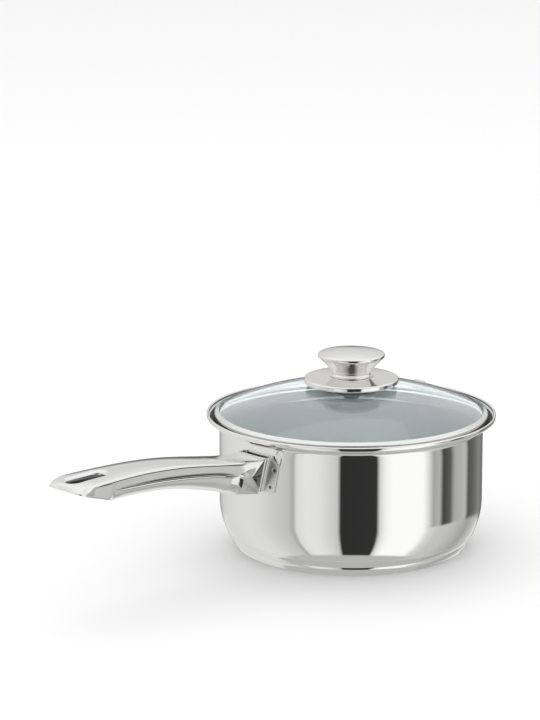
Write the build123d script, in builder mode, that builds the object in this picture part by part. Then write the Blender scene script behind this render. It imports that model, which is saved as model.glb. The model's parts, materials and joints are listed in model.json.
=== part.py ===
from build123d import *
import os
from math import asin, cos, degrees, radians, sin, sqrt

# A saucepan with a glass lid, in millimetres.
# The origin is the centre of the base's underside, +Z is up and the handle points along -X.
# The pan, its base, the bracket and the two handle shells are one rigid body.
# The lid is the other: it lifts off along +Z.

# Pan: a drawn steel vessel with a straight wall, a rounded corner and a flared pouring rim
pan_outer_r = 80.0
pan_sheet = 0.7
floor_z = 5.2             # underside of the vessel's floor
belly_r = 45.0            # radius of the long curve from the wall towards the base
belly_top_z = 30.0        # height at which that curve starts
base_joint_z = 10.3       # height of the line where the base cap meets the vessel

# Pouring rim: the wall turns out, runs nearly level and turns up into a hemmed lip
rim_start_z = 75.0
rim_turn_r = 3.5
rim_upturn_r = 2.2
rim_tilt = 75.0           # degrees between the wall and the ledge
rim_flare = 7.7           # from the wall out to the rim's edge
lip_height = 1.3          # from the end of the upturn to the lip's top
hem_thickness = 1.4       # the lip is folded back on itself

# Base: an aluminium plate closed in by a steel cap
cap_sheet = 0.5
base_taper = 5.7          # from the line where the cap meets the vessel in to the underside's edge
base_edge_round = 0.9
base_waist_z = 5.4        # shallow groove between the two bands of the cap's side
base_waist_inset = 3.2    # from the line where the cap meets the vessel in to the groove
base_bulge = 0.35         # how far each band's side is rounded out
feather_edge = 0.12       # thickness of the cap where it runs out on the vessel
feather_turn = 0.8        # degrees from the vessel's joint line to where the cap runs out
core_angle = 50.0         # degrees below the horizontal at which the cap leaves the vessel's corner
bond_gap = 0.05           # left between brazed curved faces

# Lid glass: a tempered spherical dome
glass_sphere_r = 200.0
glass_thickness = 3.0
glass_edge_round = 1.1
glass_rise = 0.25         # from the band's channel up to the glass
bush_hole_play = 1.0      # around the threaded bush in the hole of the glass

# Lid band: a rolled steel hoop around the edge of the glass, with a skirt inside the pan
band_overlap = 3.0        # how far the hoop reaches past the pan's wall, over the ledge
band_sheet = 0.4
band_lip_width = 3.7      # from the hoop's outside to the inner edge of the lip on the glass
band_corner_r = 0.8
lip_gap = 0.1             # between that lip and the glass
lid_play = 0.6            # radial play of the skirt in the pan
lid_seat_gap = 0.3        # between the band and the ledge it rests on
skirt_depth = 7.6         # length of the skirt below the band's underside
seal_width = 0.7          # between the edge of the glass and the hoop
seal_gap = 0.05

# Steam vent: a steel eyelet and its washer, opposite the handle
vent_r_position = 60.5
vent_hole_r = 3.0
vent_bore_r = 2.0
vent_flange_r = 3.7
vent_flange_rise = 1.0
vent_mouth_drop = 0.5     # from the flange's crown down to its bore
vent_roll_height = 0.8    # the tube's end, rolled over the washer
vent_washer_r = 4.6
vent_washer_sheet = 0.5
vent_clearance = 0.1

# Knob plate: a dished disc between the glass and the knob; heights are from the top of the glass
plate_r = 28.6
plate_rim_height = 3.8
plate_hub_height = 4.8
plate_edge = 3.4          # depth of the turned-down edge
plate_sheet = 0.8
plate_corner = 1.0
plate_pad_inset = 2.0     # from the upper gasket's edge in to the dish where the plate is clamped

# Knob: a spun cap and a turned stem; heights are from the top of the plate's hub
stem_foot_r = 13.1
stem_foot_height = 0.8
stem_foot_chamfer = 0.2
stem_waist_r = 11.3
stem_waist_height = 1.7
stem_top_r = 19.4
stem_sheet = 1.0
stem_hollow = 0.2         # how far the cone's side is drawn in at its middle
cap_r = 20.2
cap_joint_height = 11.1   # where the stem meets the cap
cap_widest_height = 12.2
cap_shoulder_height = 13.9
cap_top_height = 16.2
cap_foot_step = 0.2       # the cap's foot stands this far outside the stem's top
cap_shoulder_inset = 0.7
knob_sheet = 0.8

# Knob fixings, stacked on the screw
screw_r = 2.45
thread_clearance = 0.05
screw_head_width = 2.15   # from the shank out to the head's edge
screw_head_height = 2.6
screw_head_round = 1.0
screw_reach = 4.0         # how far the screw enters the threaded bush
screw_tip_chamfer = 0.5
recess_width = 0.9        # cross recess in the head
recess_depth = 1.4
bush_wall = 1.55
bush_flange_width = 3.0
bush_flange_height = 2.2
bush_clearance = 0.1
bush_foot_gap = 0.2
gasket_thickness = 1.3
gasket_play = 0.6         # around the screw
upper_gasket_r = 14.0
lower_gasket_r = 15.0
washer_play = 0.3         # around the screw
under_washer_r = 17.3
under_washer_step_r = 11.0
under_washer_step = 1.2
under_washer_sheet = 0.8
lock_washer_width = 1.65
lock_washer_height = 1.0
lock_washer_gap = 1.2

# Handle bracket: a pressed hat-shaped strap, spot-welded to the wall
bracket_sheet = 1.0
bracket_reach = 4.0       # from the wall to the face that carries the handle
bracket_drop = 4.4        # from the start of the rim down to the bracket's top
bracket_height = 21.2
neck_top_v = 11.7         # half widths of the neck
neck_bottom_v = 6.2
flange_top_v = 18.3       # half widths of the flanges
flange_bottom_v = 14.7
flange_cut = 4.3          # the flange's top corner is cut away by this much
weld_r = 1.1
weld_depth = 0.45
weld_spots = [(15.0, 7.1), (12.0, 17.7)]   # half width, and depth below the bracket's top

# Handle: two pressed half shells, the upper one with a hanging slot
handle_length = 145.3
handle_sheet = 1.0
handle_half_width = 15.6  # at its widest, near the end
handle_nose_r = 6.0
edge_swell = 0.5          # how far the side swells between the top edge and the crease
seam_gap = 0.05
ramp_length = 29.3        # the underside rises towards the end over this length
ramp_height = 3.2         # depth of the ramp's start below the bracket's top
ramp_rise = 0.369         # rise for each millimetre along
slot_from_tip = 17.3      # from the handle's end to the middle of the slot
slot_length = 26.0
slot_width = 10.0
crease_from_tip = 27.0    # the side crease turns down this far from the end
crease_turn = 4.0         # length over which it turns down
crease_turn_height = 2.5  # its height above the ramp there

# Stations along the handle, each a cross-section: share of the handle's length from the mouth,
# half width of the top edge, its height, crown of the top, half width at the side crease,
# height of the crease, height of the underside, and half width of the bulge near its bottom.
# Heights are from the bracket's top.
stations = [
    (0.000, 11.8, -0.2, 0.3, 9.9, -9.1, -23.2, 6.4),
    (0.070, 11.9, 0.3, 0.8, 10.8, -8.1, -22.0, 7.4),
    (0.140, 12.0, 1.3, 1.0, 11.3, -6.7, -19.4, 7.9),
    (0.210, 12.3, 2.9, 1.3, 11.5, -3.9, -15.9, 8.0),
    (0.300, 12.7, 5.0, 1.6, 11.9, -1.5, -12.6, 8.2),
    (0.415, 13.0, 7.6, 1.8, 12.2, 0.8, -8.4, 8.2),
    (0.550, 13.2, 9.6, 2.0, 12.4, 2.8, -5.2, 8.0),
    (0.690, 13.8, 10.4, 2.0, 12.8, 3.9, -4.6, 7.8),
    (0.810, 14.8, 10.5, 1.8, 13.8, 4.7, -4.0, 8.2),
    (0.910, 15.3, 10.4, 1.5, 14.6, 5.2, -3.8, 9.0),
    (1.005, 15.5, 10.3, 1.2, 15.0, 5.4, -3.6, 9.5),
]
bulge_height = 0.17       # height of the bulge, as a share of the depth below the crease

over = 2.0                # how far cutting bodies run past what they cut

os.makedirs("parts", exist_ok=True)


def save(piece, name):
    """Label a finished piece and write its file."""
    piece.part.label = name
    export_step(piece.part, f"parts/{name}.step")


# Points of the vessel's outer line, from the floor to the lip
rim_outer_r = pan_outer_r + rim_flare
belly_drop = belly_top_z - base_joint_z
belly_angle = asin(belly_drop / belly_r)
belly_centre_r = pan_outer_r - belly_r
joint_r = belly_centre_r + belly_r * cos(belly_angle)
corner_r = (base_joint_z - floor_z) / (1 - sin(belly_angle))
corner_centre_r = joint_r - corner_r * cos(belly_angle)
corner_centre_z = floor_z + corner_r
tilt = radians(rim_tilt)
turn_centre_r = pan_outer_r + rim_turn_r
turn_end_r = turn_centre_r - rim_turn_r * cos(tilt)
turn_end_z = rim_start_z + rim_turn_r * sin(tilt)
upturn_centre_r = rim_outer_r - rim_upturn_r
ledge_end_r = upturn_centre_r + rim_upturn_r * cos(tilt)
ledge_slope = cos(tilt) / sin(tilt)
ledge_end_z = turn_end_z + (ledge_end_r - turn_end_r) * ledge_slope
upturn_end_z = ledge_end_z + rim_upturn_r * sin(tilt)
lip_top_z = upturn_end_z + lip_height
lip_round = hem_thickness / 2 - 0.01


def below(centre_r, centre_z, r, angle):
    """A point on an arc, at an angle below the horizontal through its centre."""
    return (centre_r + r * cos(angle), centre_z - r * sin(angle))


def vessel_line(inset):
    """Points of the vessel's line, moved inwards by the inset."""
    r_belly = belly_r - inset
    r_corner = corner_r - inset
    r_turn = rim_turn_r + inset
    r_upturn = rim_upturn_r - inset
    corner_middle = (belly_angle + radians(90)) / 2
    return {
        "floor_end": (corner_centre_r, corner_centre_z - r_corner),
        "corner_mid": below(corner_centre_r, corner_centre_z, r_corner, corner_middle),
        "corner_end": below(belly_centre_r, belly_top_z, r_belly, belly_angle),
        "belly_mid": below(belly_centre_r, belly_top_z, r_belly, belly_angle / 2),
        "belly_end": (pan_outer_r - inset, belly_top_z),
        "wall_end": (pan_outer_r - inset, rim_start_z),
        "turn_mid": below(turn_centre_r, rim_start_z, -r_turn, tilt / 2),
        "turn_end": below(turn_centre_r, rim_start_z, -r_turn, tilt),
        "ledge_end": below(upturn_centre_r, upturn_end_z, r_upturn, tilt),
        "upturn_mid": below(upturn_centre_r, upturn_end_z, r_upturn, tilt / 2),
        "upturn_end": (rim_outer_r - inset, upturn_end_z),
    }


def vessel_floor_line(points, start):
    """Draw the vessel's line from a start point on the axis up to the rim's upturn."""
    Line(start, points["floor_end"])
    ThreePointArc(points["floor_end"], points["corner_mid"], points["corner_end"])
    ThreePointArc(points["corner_end"], points["belly_mid"], points["belly_end"])
    Line(points["belly_end"], points["wall_end"])
    ThreePointArc(points["wall_end"], points["turn_mid"], points["turn_end"])
    Line(points["turn_end"], points["ledge_end"])
    ThreePointArc(points["ledge_end"], points["upturn_mid"], points["upturn_end"])


# Vessel: revolved sheet with a hemmed lip
outer = vessel_line(0)
inner = vessel_line(pan_sheet)
lip_mid_r = rim_outer_r - hem_thickness / 2
lip_outside = (rim_outer_r, lip_top_z - lip_round)
lip_inside = (rim_outer_r - hem_thickness, lip_top_z - lip_round)
hem_foot = (rim_outer_r - hem_thickness, upturn_end_z)
with BuildPart() as pan_body:
    with BuildSketch(Plane.XZ):
        with BuildLine():
            vessel_floor_line(outer, (0, floor_z))
            Line(outer["upturn_end"], lip_outside)
            ThreePointArc(lip_outside, (lip_mid_r, lip_top_z), lip_inside)
            Polyline(lip_inside, hem_foot, inner["upturn_end"])
            vessel_floor_line(inner, (0, floor_z + pan_sheet))
            Line((0, floor_z), (0, floor_z + pan_sheet))
        make_face()
    revolve(axis=Axis.Z)
save(pan_body, "pan_body")

# Base cap: its side is two rounded bands, feathered against the vessel's corner at the top
def corner_point(angle, gap):
    """A point on the vessel's corner, at an angle below the horizontal, with a gap outside it."""
    return below(corner_centre_r, corner_centre_z, corner_r + gap, radians(angle))


feather_angle = degrees(belly_angle) + feather_turn
base_bottom_r = joint_r - base_taper
cap_top_inner = corner_point(feather_angle, bond_gap)
cap_side_top = (cap_top_inner[0] + feather_edge, cap_top_inner[1])
cap_leaves_vessel = corner_point(core_angle, bond_gap)
cap_waist = (joint_r - base_waist_inset, base_waist_z)
cap_foot = (base_bottom_r + base_edge_round * 0.3, base_edge_round)
cap_foot_middle = (base_bottom_r - base_edge_round * 0.2, base_edge_round * 0.3)
cap_flat_end = (base_bottom_r - base_edge_round, 0)
cap_inner_foot = (base_bottom_r - cap_sheet, cap_sheet)


def bulged(a, b):
    """The middle of two points of the cap's side, pushed out to round the band between them."""
    return ((a[0] + b[0]) / 2 + base_bulge, (a[1] + b[1]) / 2)


with BuildPart() as base_cap:
    with BuildSketch(Plane.XZ):
        with BuildLine():
            Line((0, 0), cap_flat_end)
            ThreePointArc(cap_flat_end, cap_foot_middle, cap_foot)
            ThreePointArc(cap_foot, bulged(cap_foot, cap_waist), cap_waist)
            ThreePointArc(cap_waist, bulged(cap_waist, cap_side_top), cap_side_top)
            Line(cap_side_top, cap_top_inner)
            middle_angle = (feather_angle + core_angle) / 2
            ThreePointArc(cap_top_inner, corner_point(middle_angle, bond_gap), cap_leaves_vessel)
            Polyline(cap_leaves_vessel, cap_inner_foot, (0, cap_sheet), (0, 0))
        make_face()
    revolve(axis=Axis.Z)
save(base_cap, "base_cap")

# Heat-spreading core: an aluminium plate between the vessel's floor and the cap
core_edge = corner_point(core_angle + 1, bond_gap)
core_top = (core_edge[0] - bond_gap, core_edge[1])
core_foot = (cap_inner_foot[0] - bond_gap, cap_sheet)
core_flat_end = (corner_centre_r, floor_z - bond_gap)
with BuildPart() as base_core:
    with BuildSketch(Plane.XZ):
        with BuildLine():
            Polyline((0, cap_sheet), core_foot, core_top)
            ThreePointArc(core_top, corner_point((core_angle + 90) / 2, bond_gap), core_flat_end)
            Polyline(core_flat_end, (0, floor_z - bond_gap), (0, cap_sheet))
        make_face()
    revolve(axis=Axis.Z)
save(base_core, "base_core")

# Handle bracket: flanges that hug the wall, two neck walls and a face for the handle's mouth
bracket_face_u = pan_outer_r + bracket_reach      # u is the distance from the pan's axis
bracket_top_z = rim_start_z - bracket_drop
bracket_bottom_z = bracket_top_z - bracket_height
bracket_middle_z = (bracket_top_z + bracket_bottom_z) / 2
flange_outline = [
    (neck_top_v, bracket_top_z),
    (flange_top_v, bracket_top_z - flange_cut),
    (flange_bottom_v, bracket_bottom_z),
    (-flange_bottom_v, bracket_bottom_z),
    (-flange_top_v, bracket_top_z - flange_cut),
    (-neck_top_v, bracket_top_z),
]
neck_taper = (neck_top_v - neck_bottom_v) / bracket_height
wall_plane = Plane(origin=(0, 0, 0), x_dir=(0, -1, 0), z_dir=(-1, 0, 0))
bracket_outer_r = pan_outer_r + bracket_sheet
hollow_start = pan_outer_r - 3 * over


def neck_outline(inset, past):
    """Corners of the neck, narrowed by an inset and run past its top and bottom."""
    top = neck_top_v + neck_taper * past - inset
    bottom = neck_bottom_v - neck_taper * past - inset
    low = bracket_bottom_z - past
    high = bracket_top_z + past
    return [(top, high), (bottom, low), (-bottom, low), (-top, high)]


with BuildPart() as handle_bracket:
    with BuildSketch(wall_plane):
        Polygon(*flange_outline, align=None)
    extrude(amount=bracket_face_u)
    # keep only the sheet that hugs the wall
    with BuildSketch(Plane.XY.offset(bracket_bottom_z - over)):
        Circle(bracket_outer_r)
        Circle(pan_outer_r + bond_gap, mode=Mode.SUBTRACT)
    extrude(amount=bracket_height + 2 * over, mode=Mode.INTERSECT)
    # the neck is a solid block first, then hollowed from the wall's side
    with BuildSketch(wall_plane.offset(pan_outer_r - over)):
        Polygon(*neck_outline(0, 0), align=None)
    extrude(amount=bracket_reach + over)
    with BuildSketch(wall_plane.offset(hollow_start)):
        Polygon(*neck_outline(bracket_sheet, over), align=None)
    extrude(amount=bracket_face_u - bracket_sheet - hollow_start, mode=Mode.SUBTRACT)
    with Locations((0, 0, bracket_middle_z)):
        Cylinder(pan_outer_r + bond_gap, bracket_height + 2 * over, mode=Mode.SUBTRACT)
    # shallow pits where the spot welds were made
    for half_width, depth in weld_spots:
        for side in (-1, 1):
            turn = asin(side * half_width / pan_outer_r)
            pit = Plane(
                origin=(
                    -bracket_outer_r * cos(turn),
                    -bracket_outer_r * sin(turn),
                    bracket_top_z - depth,
                ),
                z_dir=(cos(turn), sin(turn), 0),
            )
            with Locations(pit):
                Cone(weld_r, weld_r / 2, 2 * weld_depth, mode=Mode.SUBTRACT)
save(handle_bracket, "handle_bracket")


# Handle: one lofted tube, pressed with a crease along each side, split into two half shells
def handle_outline(station, inset):
    """Draw one cross-section of the handle, drawn in by an inset."""
    _, edge_v, edge_h, crown, crease_v, crease_h, low_h, low_v = station
    top_edge = (edge_v - inset, bracket_top_z + edge_h - inset)
    crease = (crease_v - inset, bracket_top_z + crease_h)
    bottom_z = bracket_top_z + low_h + inset
    bulge = (low_v - inset * 0.7, bottom_z + (crease_h - low_h - inset) * bulge_height)
    side_mid = ((top_edge[0] + crease[0]) / 2 + edge_swell, (top_edge[1] + crease[1]) / 2)
    ThreePointArc((-top_edge[0], top_edge[1]), (0, top_edge[1] + crown), top_edge)
    ThreePointArc(top_edge, side_mid, crease)
    Spline(crease, bulge, (0, bottom_z), (-bulge[0], bulge[1]), (-crease[0], crease[1]))
    ThreePointArc((-crease[0], crease[1]), (-side_mid[0], side_mid[1]), (-top_edge[0], top_edge[1]))


handle_tip_u = bracket_face_u + handle_length
ramp_start_u = handle_tip_u - ramp_length
slot_centre_u = handle_tip_u - slot_from_tip


def ramp_z(u):
    """Height of the sloping underside at a distance u from the pan's axis."""
    return bracket_top_z - ramp_height + (u - ramp_start_u) * ramp_rise


def end_wedge(lift):
    """Corners, along and up, of what is cut from under the handle's end."""
    near = ramp_start_u - ramp_length
    far = handle_tip_u + over
    return [(near, ramp_z(near) + lift), (far, ramp_z(far) + lift), (far, 0), (near, 0)]


side_plane = Plane(origin=(0, 0, 0), x_dir=(-1, 0, 0), z_dir=(0, 1, 0))
high_z = 2 * bracket_top_z
handle_solids = []
for inset in (0, handle_sheet):
    with BuildPart() as handle_solid:
        for station in stations:
            with BuildSketch(wall_plane.offset(bracket_face_u + station[0] * handle_length)):
                with BuildLine():
                    handle_outline(station, inset)
                make_face()
        loft()
        # the underside slopes up towards the free end, and the end's corners are rounded
        with BuildSketch(side_plane):
            Polygon(*end_wedge(inset), align=None)
        extrude(amount=handle_half_width * 2, both=True, mode=Mode.SUBTRACT)
        length = handle_tip_u - inset
        with BuildSketch(Plane.XY):
            with Locations((-length / 2, 0)):
                RectangleRounded(length, 2 * (handle_half_width - inset), handle_nose_r)
        extrude(amount=high_z, mode=Mode.INTERSECT)
    handle_solids.append(handle_solid.part)
handle_outside, handle_inside = handle_solids

# Where the shells meet: along the side crease, down to the underside, then along its slope
crease_end_u = handle_tip_u - crease_from_tip
crease_line = []
for station in stations:
    station_u = bracket_face_u + station[0] * handle_length
    if station_u <= crease_end_u:
        crease_line.append((station_u, bracket_top_z + station[5]))
turn_u = crease_end_u + crease_turn
seam_ramp_u = turn_u + crease_turn
past_tip_u = handle_tip_u + over
before_mouth_u = bracket_face_u - over
seam_corners = [
    (turn_u, ramp_z(turn_u) + crease_turn_height),
    (seam_ramp_u, ramp_z(seam_ramp_u) + handle_sheet),
    (past_tip_u, ramp_z(past_tip_u) + handle_sheet),
]


def above_seam(drop):
    """Draw the outline of everything above the line where the shells meet, moved down by a drop."""
    start = (before_mouth_u, crease_line[0][1] - drop)
    crease = [(u, z - drop) for u, z in crease_line]
    corners = [(u, z - drop) for u, z in seam_corners]
    Line(start, crease[0])
    Spline(*crease)
    Polyline(crease[-1], *corners, (past_tip_u, high_z), (before_mouth_u, high_z), start)


with BuildPart() as handle_upper_shell:
    add(handle_outside)
    add(handle_inside, mode=Mode.SUBTRACT)
    # the slot's edge is drawn down into a wall that reaches the underside
    with BuildSketch(Plane.XY.offset(bracket_top_z - ramp_height)):
        with Locations((-slot_centre_u, 0)):
            SlotOverall(slot_length + 2 * handle_sheet, slot_width + 2 * handle_sheet)
    slot_wall = extrude(amount=bracket_top_z, mode=Mode.PRIVATE)
    add(slot_wall & handle_outside)
    with BuildSketch(Plane.XY):
        with Locations((-slot_centre_u, 0)):
            SlotOverall(slot_length, slot_width)
    extrude(amount=high_z, mode=Mode.SUBTRACT)
    with BuildSketch(side_plane):
        with BuildLine():
            above_seam(0)
        make_face()
    extrude(amount=handle_half_width * 2, both=True, mode=Mode.INTERSECT)
save(handle_upper_shell, "handle_upper_shell")

with BuildPart() as handle_lower_shell:
    add(handle_outside)
    add(handle_inside, mode=Mode.SUBTRACT)
    with BuildSketch(side_plane):
        with BuildLine():
            above_seam(seam_gap)
        make_face()
    extrude(amount=handle_half_width * 2, both=True, mode=Mode.SUBTRACT)
    with BuildSketch(Plane.XY):
        with Locations((-slot_centre_u, 0)):
            SlotOverall(slot_length, slot_width)
    extrude(amount=high_z, mode=Mode.SUBTRACT)
save(handle_lower_shell, "handle_lower_shell")

# Where the lid rests: the band's underside lies just above the pan's ledge
band_outer_r = pan_outer_r + band_overlap
band_inner_r = band_outer_r - band_sheet
band_under_z = turn_end_z + (band_outer_r - turn_end_r) * ledge_slope + pan_sheet / sin(tilt) + lid_seat_gap
channel_floor_z = band_under_z + band_sheet
glass_edge_r = band_inner_r - seal_width
edge_start_r = glass_edge_r - glass_edge_round
inner_sphere_r = glass_sphere_r - glass_thickness
sphere_centre_z = channel_floor_z + glass_rise - sqrt(inner_sphere_r**2 - edge_start_r**2)
glass_apex_z = sphere_centre_z + glass_sphere_r


def glass_top(r):
    """Height of the dome's outer surface at a distance r from the axis."""
    return sphere_centre_z + sqrt(glass_sphere_r**2 - r**2)


def glass_under(r):
    """Height of the dome's inner surface at a distance r from the axis."""
    return sphere_centre_z + sqrt(inner_sphere_r**2 - r**2)


def dome_arc(surface, start_r, end_r, lift=0):
    """Draw an arc along one of the dome's surfaces between two distances from the axis."""
    middle_r = (start_r + end_r) / 2
    points = [(r, surface(r) + lift) for r in (start_r, middle_r, end_r)]
    ThreePointArc(*points)


# Lid glass: a spherical shell with a rounded edge, a hole for the knob's bush and one for the vent
bush_r = screw_r + bush_wall
glass_hole_r = bush_r + bush_hole_play
edge_mid_z = (glass_top(edge_start_r) + glass_under(edge_start_r)) / 2
with BuildPart() as lid_glass:
    with BuildSketch(Plane.XZ):
        with BuildLine():
            dome_arc(glass_top, glass_hole_r, edge_start_r)
            ThreePointArc(
                (edge_start_r, glass_top(edge_start_r)),
                (glass_edge_r, edge_mid_z),
                (edge_start_r, glass_under(edge_start_r)),
            )
            dome_arc(glass_under, edge_start_r, glass_hole_r)
            Line((glass_hole_r, glass_under(glass_hole_r)), (glass_hole_r, glass_top(glass_hole_r)))
        make_face()
    revolve(axis=Axis.Z)
    # the vent's hole is square to the dome
    vent_tilt = asin(vent_r_position / glass_sphere_r)
    vent_axis = Vector(sin(vent_tilt), 0, cos(vent_tilt))
    vent_top = Vector(vent_r_position, 0, glass_top(vent_r_position))
    with Locations(Plane(origin=vent_top, x_dir=(0, 1, 0), z_dir=vent_axis)):
        Cylinder(vent_hole_r, 4 * glass_thickness, mode=Mode.SUBTRACT)
save(lid_glass, "lid_glass")

# Lid band: a channel rolled round the edge of the glass, with a skirt below it
skirt_outer_r = pan_outer_r - pan_sheet - lid_play
skirt_inner_r = skirt_outer_r - band_sheet
skirt_foot_z = band_under_z - skirt_depth
band_lip_r = band_outer_r - band_lip_width
lip_under_z = glass_top(band_lip_r) + lip_gap
lip_outer_r = band_inner_r - band_corner_r
lip_outer_under_z = glass_top(lip_outer_r) + lip_gap
lip_outer_top_z = lip_outer_under_z + band_sheet
hoop_top_z = lip_outer_under_z - band_corner_r
corner_rise = band_corner_r * (1 - cos(radians(45)))
with BuildPart() as lid_rim_band:
    with BuildSketch(Plane.XZ):
        with BuildLine():
            Polyline(
                (band_lip_r, lip_under_z),
                (band_lip_r, lip_under_z + band_sheet),
                (lip_outer_r, lip_outer_top_z),
            )
            ThreePointArc(
                (lip_outer_r, lip_outer_top_z),
                (band_outer_r - corner_rise, lip_outer_top_z - corner_rise * 1.4),
                (band_outer_r, hoop_top_z),
            )
            Line((band_outer_r, hoop_top_z), (band_outer_r, band_under_z + band_corner_r))
            ThreePointArc(
                (band_outer_r, band_under_z + band_corner_r),
                (band_outer_r - corner_rise, band_under_z + corner_rise),
                (band_outer_r - band_corner_r, band_under_z),
            )
            Polyline(
                (band_outer_r - band_corner_r, band_under_z),
                (skirt_outer_r + band_corner_r, band_under_z),
                (skirt_outer_r, band_under_z - band_corner_r),
                (skirt_outer_r, skirt_foot_z),
                (skirt_inner_r, skirt_foot_z),
                (skirt_inner_r, band_under_z - band_corner_r / 2),
                (skirt_outer_r + band_corner_r / 2, channel_floor_z),
                (band_inner_r, channel_floor_z),
                (band_inner_r, hoop_top_z),
                (lip_outer_r, lip_outer_under_z),
                (band_lip_r, lip_under_z),
            )
        make_face()
    revolve(axis=Axis.Z)
save(lid_rim_band, "lid_rim_band")

# Rim seal: a bead of silicone between the edge of the glass and the band
seal_inner_r = glass_edge_r + seal_gap
seal_outer_r = band_inner_r - seal_gap
with BuildPart() as rim_seal:
    with BuildSketch(Plane.XZ):
        Polygon(
            (seal_inner_r, channel_floor_z + seal_gap),
            (seal_outer_r, channel_floor_z + seal_gap),
            (seal_outer_r, hoop_top_z - band_corner_r),
            (seal_inner_r, hoop_top_z),
            align=None,
        )
    revolve(axis=Axis.Z)
save(rim_seal, "rim_seal")

# Vent eyelet: a tube through the glass, flanged above it and rolled over the washer below it
washer_top = -glass_thickness - vent_clearance
washer_bottom = washer_top - vent_washer_sheet
shank_r = vent_hole_r - vent_clearance
flange_top = vent_clearance + vent_flange_rise
flange_mouth = flange_top - vent_mouth_drop
flange_crown_r = (vent_flange_r + vent_bore_r) / 2 + 0.2
roll_top = washer_bottom - vent_clearance
roll_bottom = roll_top - vent_roll_height
vent_side = Vector(0, 1, 0).cross(vent_axis)
vent_profile_plane = Plane(origin=vent_top, x_dir=vent_side, z_dir=Vector(0, -1, 0))
vent_line = Axis(vent_top, vent_axis)
with BuildPart() as vent_eyelet:
    with BuildSketch(vent_profile_plane):
        with BuildLine():
            Polyline(
                (vent_bore_r, flange_mouth),
                (vent_bore_r, roll_bottom),
                (vent_flange_r - 0.2, roll_bottom),
                (vent_flange_r, roll_top),
                (shank_r, roll_top),
                (shank_r, vent_clearance),
                (vent_flange_r, vent_clearance),
            )
            ThreePointArc(
                (vent_flange_r, vent_clearance),
                (flange_crown_r, flange_top),
                (vent_bore_r, flange_mouth),
            )
        make_face()
    revolve(axis=vent_line)
save(vent_eyelet, "vent_eyelet")

with BuildPart() as vent_washer:
    with BuildSketch(vent_profile_plane):
        Polygon(
            (vent_hole_r, washer_top),
            (vent_washer_r, washer_top),
            (vent_washer_r, washer_bottom),
            (vent_hole_r, washer_bottom),
            align=None,
        )
    revolve(axis=vent_line)
save(vent_washer, "vent_washer")

# Knob gaskets: silicone washers that follow the dome above and below it
gasket_hole_r = screw_r + gasket_play
upper_gasket_hole_r = bush_r + bush_clearance
upper_gasket_top = glass_apex_z + gasket_thickness
lower_gasket_bottom = glass_under(lower_gasket_r) - gasket_thickness


def gasket_section(surface, lift, hole_r, edge_r, flat_z):
    """Draw a gasket's section: one side follows the dome, the other is flat."""
    dome_arc(surface, hole_r, edge_r, lift)
    Polyline(
        (edge_r, surface(edge_r) + lift),
        (edge_r, flat_z),
        (hole_r, flat_z),
        (hole_r, surface(hole_r) + lift),
    )


with BuildPart() as upper_gasket:
    with BuildSketch(Plane.XZ):
        with BuildLine():
            gasket_section(glass_top, bond_gap, upper_gasket_hole_r, upper_gasket_r, upper_gasket_top)
        make_face()
    revolve(axis=Axis.Z)
save(upper_gasket, "upper_gasket")

with BuildPart() as lower_gasket:
    with BuildSketch(Plane.XZ):
        with BuildLine():
            gasket_section(glass_under, -bond_gap, gasket_hole_r, lower_gasket_r, lower_gasket_bottom)
        make_face()
    revolve(axis=Axis.Z)
save(lower_gasket, "lower_gasket")

# Knob plate: a dished steel disc with a turned-down edge, flat in the middle where it is clamped
plate_rim_z = glass_apex_z + plate_rim_height
plate_hub_z = glass_apex_z + plate_hub_height
plate_hole_r = bush_r + bush_clearance
pad_r = upper_gasket_r - plate_pad_inset
pad_top = upper_gasket_top + plate_sheet
plate_inner_r = plate_r - plate_sheet
with BuildPart() as knob_plate:
    with BuildSketch(Plane.XZ):
        with BuildLine():
            Polyline(
                (plate_hole_r, upper_gasket_top),
                (pad_r, upper_gasket_top),
                (pad_r + plate_sheet, plate_hub_z - plate_sheet),
                (plate_inner_r, plate_rim_z - plate_corner),
                (plate_inner_r, plate_rim_z - plate_edge),
                (plate_r, plate_rim_z - plate_edge),
                (plate_r, plate_rim_z - plate_corner),
            )
            ThreePointArc(
                (plate_r, plate_rim_z - plate_corner),
                (plate_r - plate_corner * 0.3, plate_rim_z - plate_corner * 0.3),
                (plate_r - plate_corner, plate_rim_z),
            )
            Polyline(
                (plate_r - plate_corner, plate_rim_z),
                (pad_r, plate_hub_z),
                (pad_r - plate_sheet, pad_top),
                (plate_hole_r, pad_top),
                (plate_hole_r, upper_gasket_top),
            )
        make_face()
    revolve(axis=Axis.Z)
save(knob_plate, "knob_plate")

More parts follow.
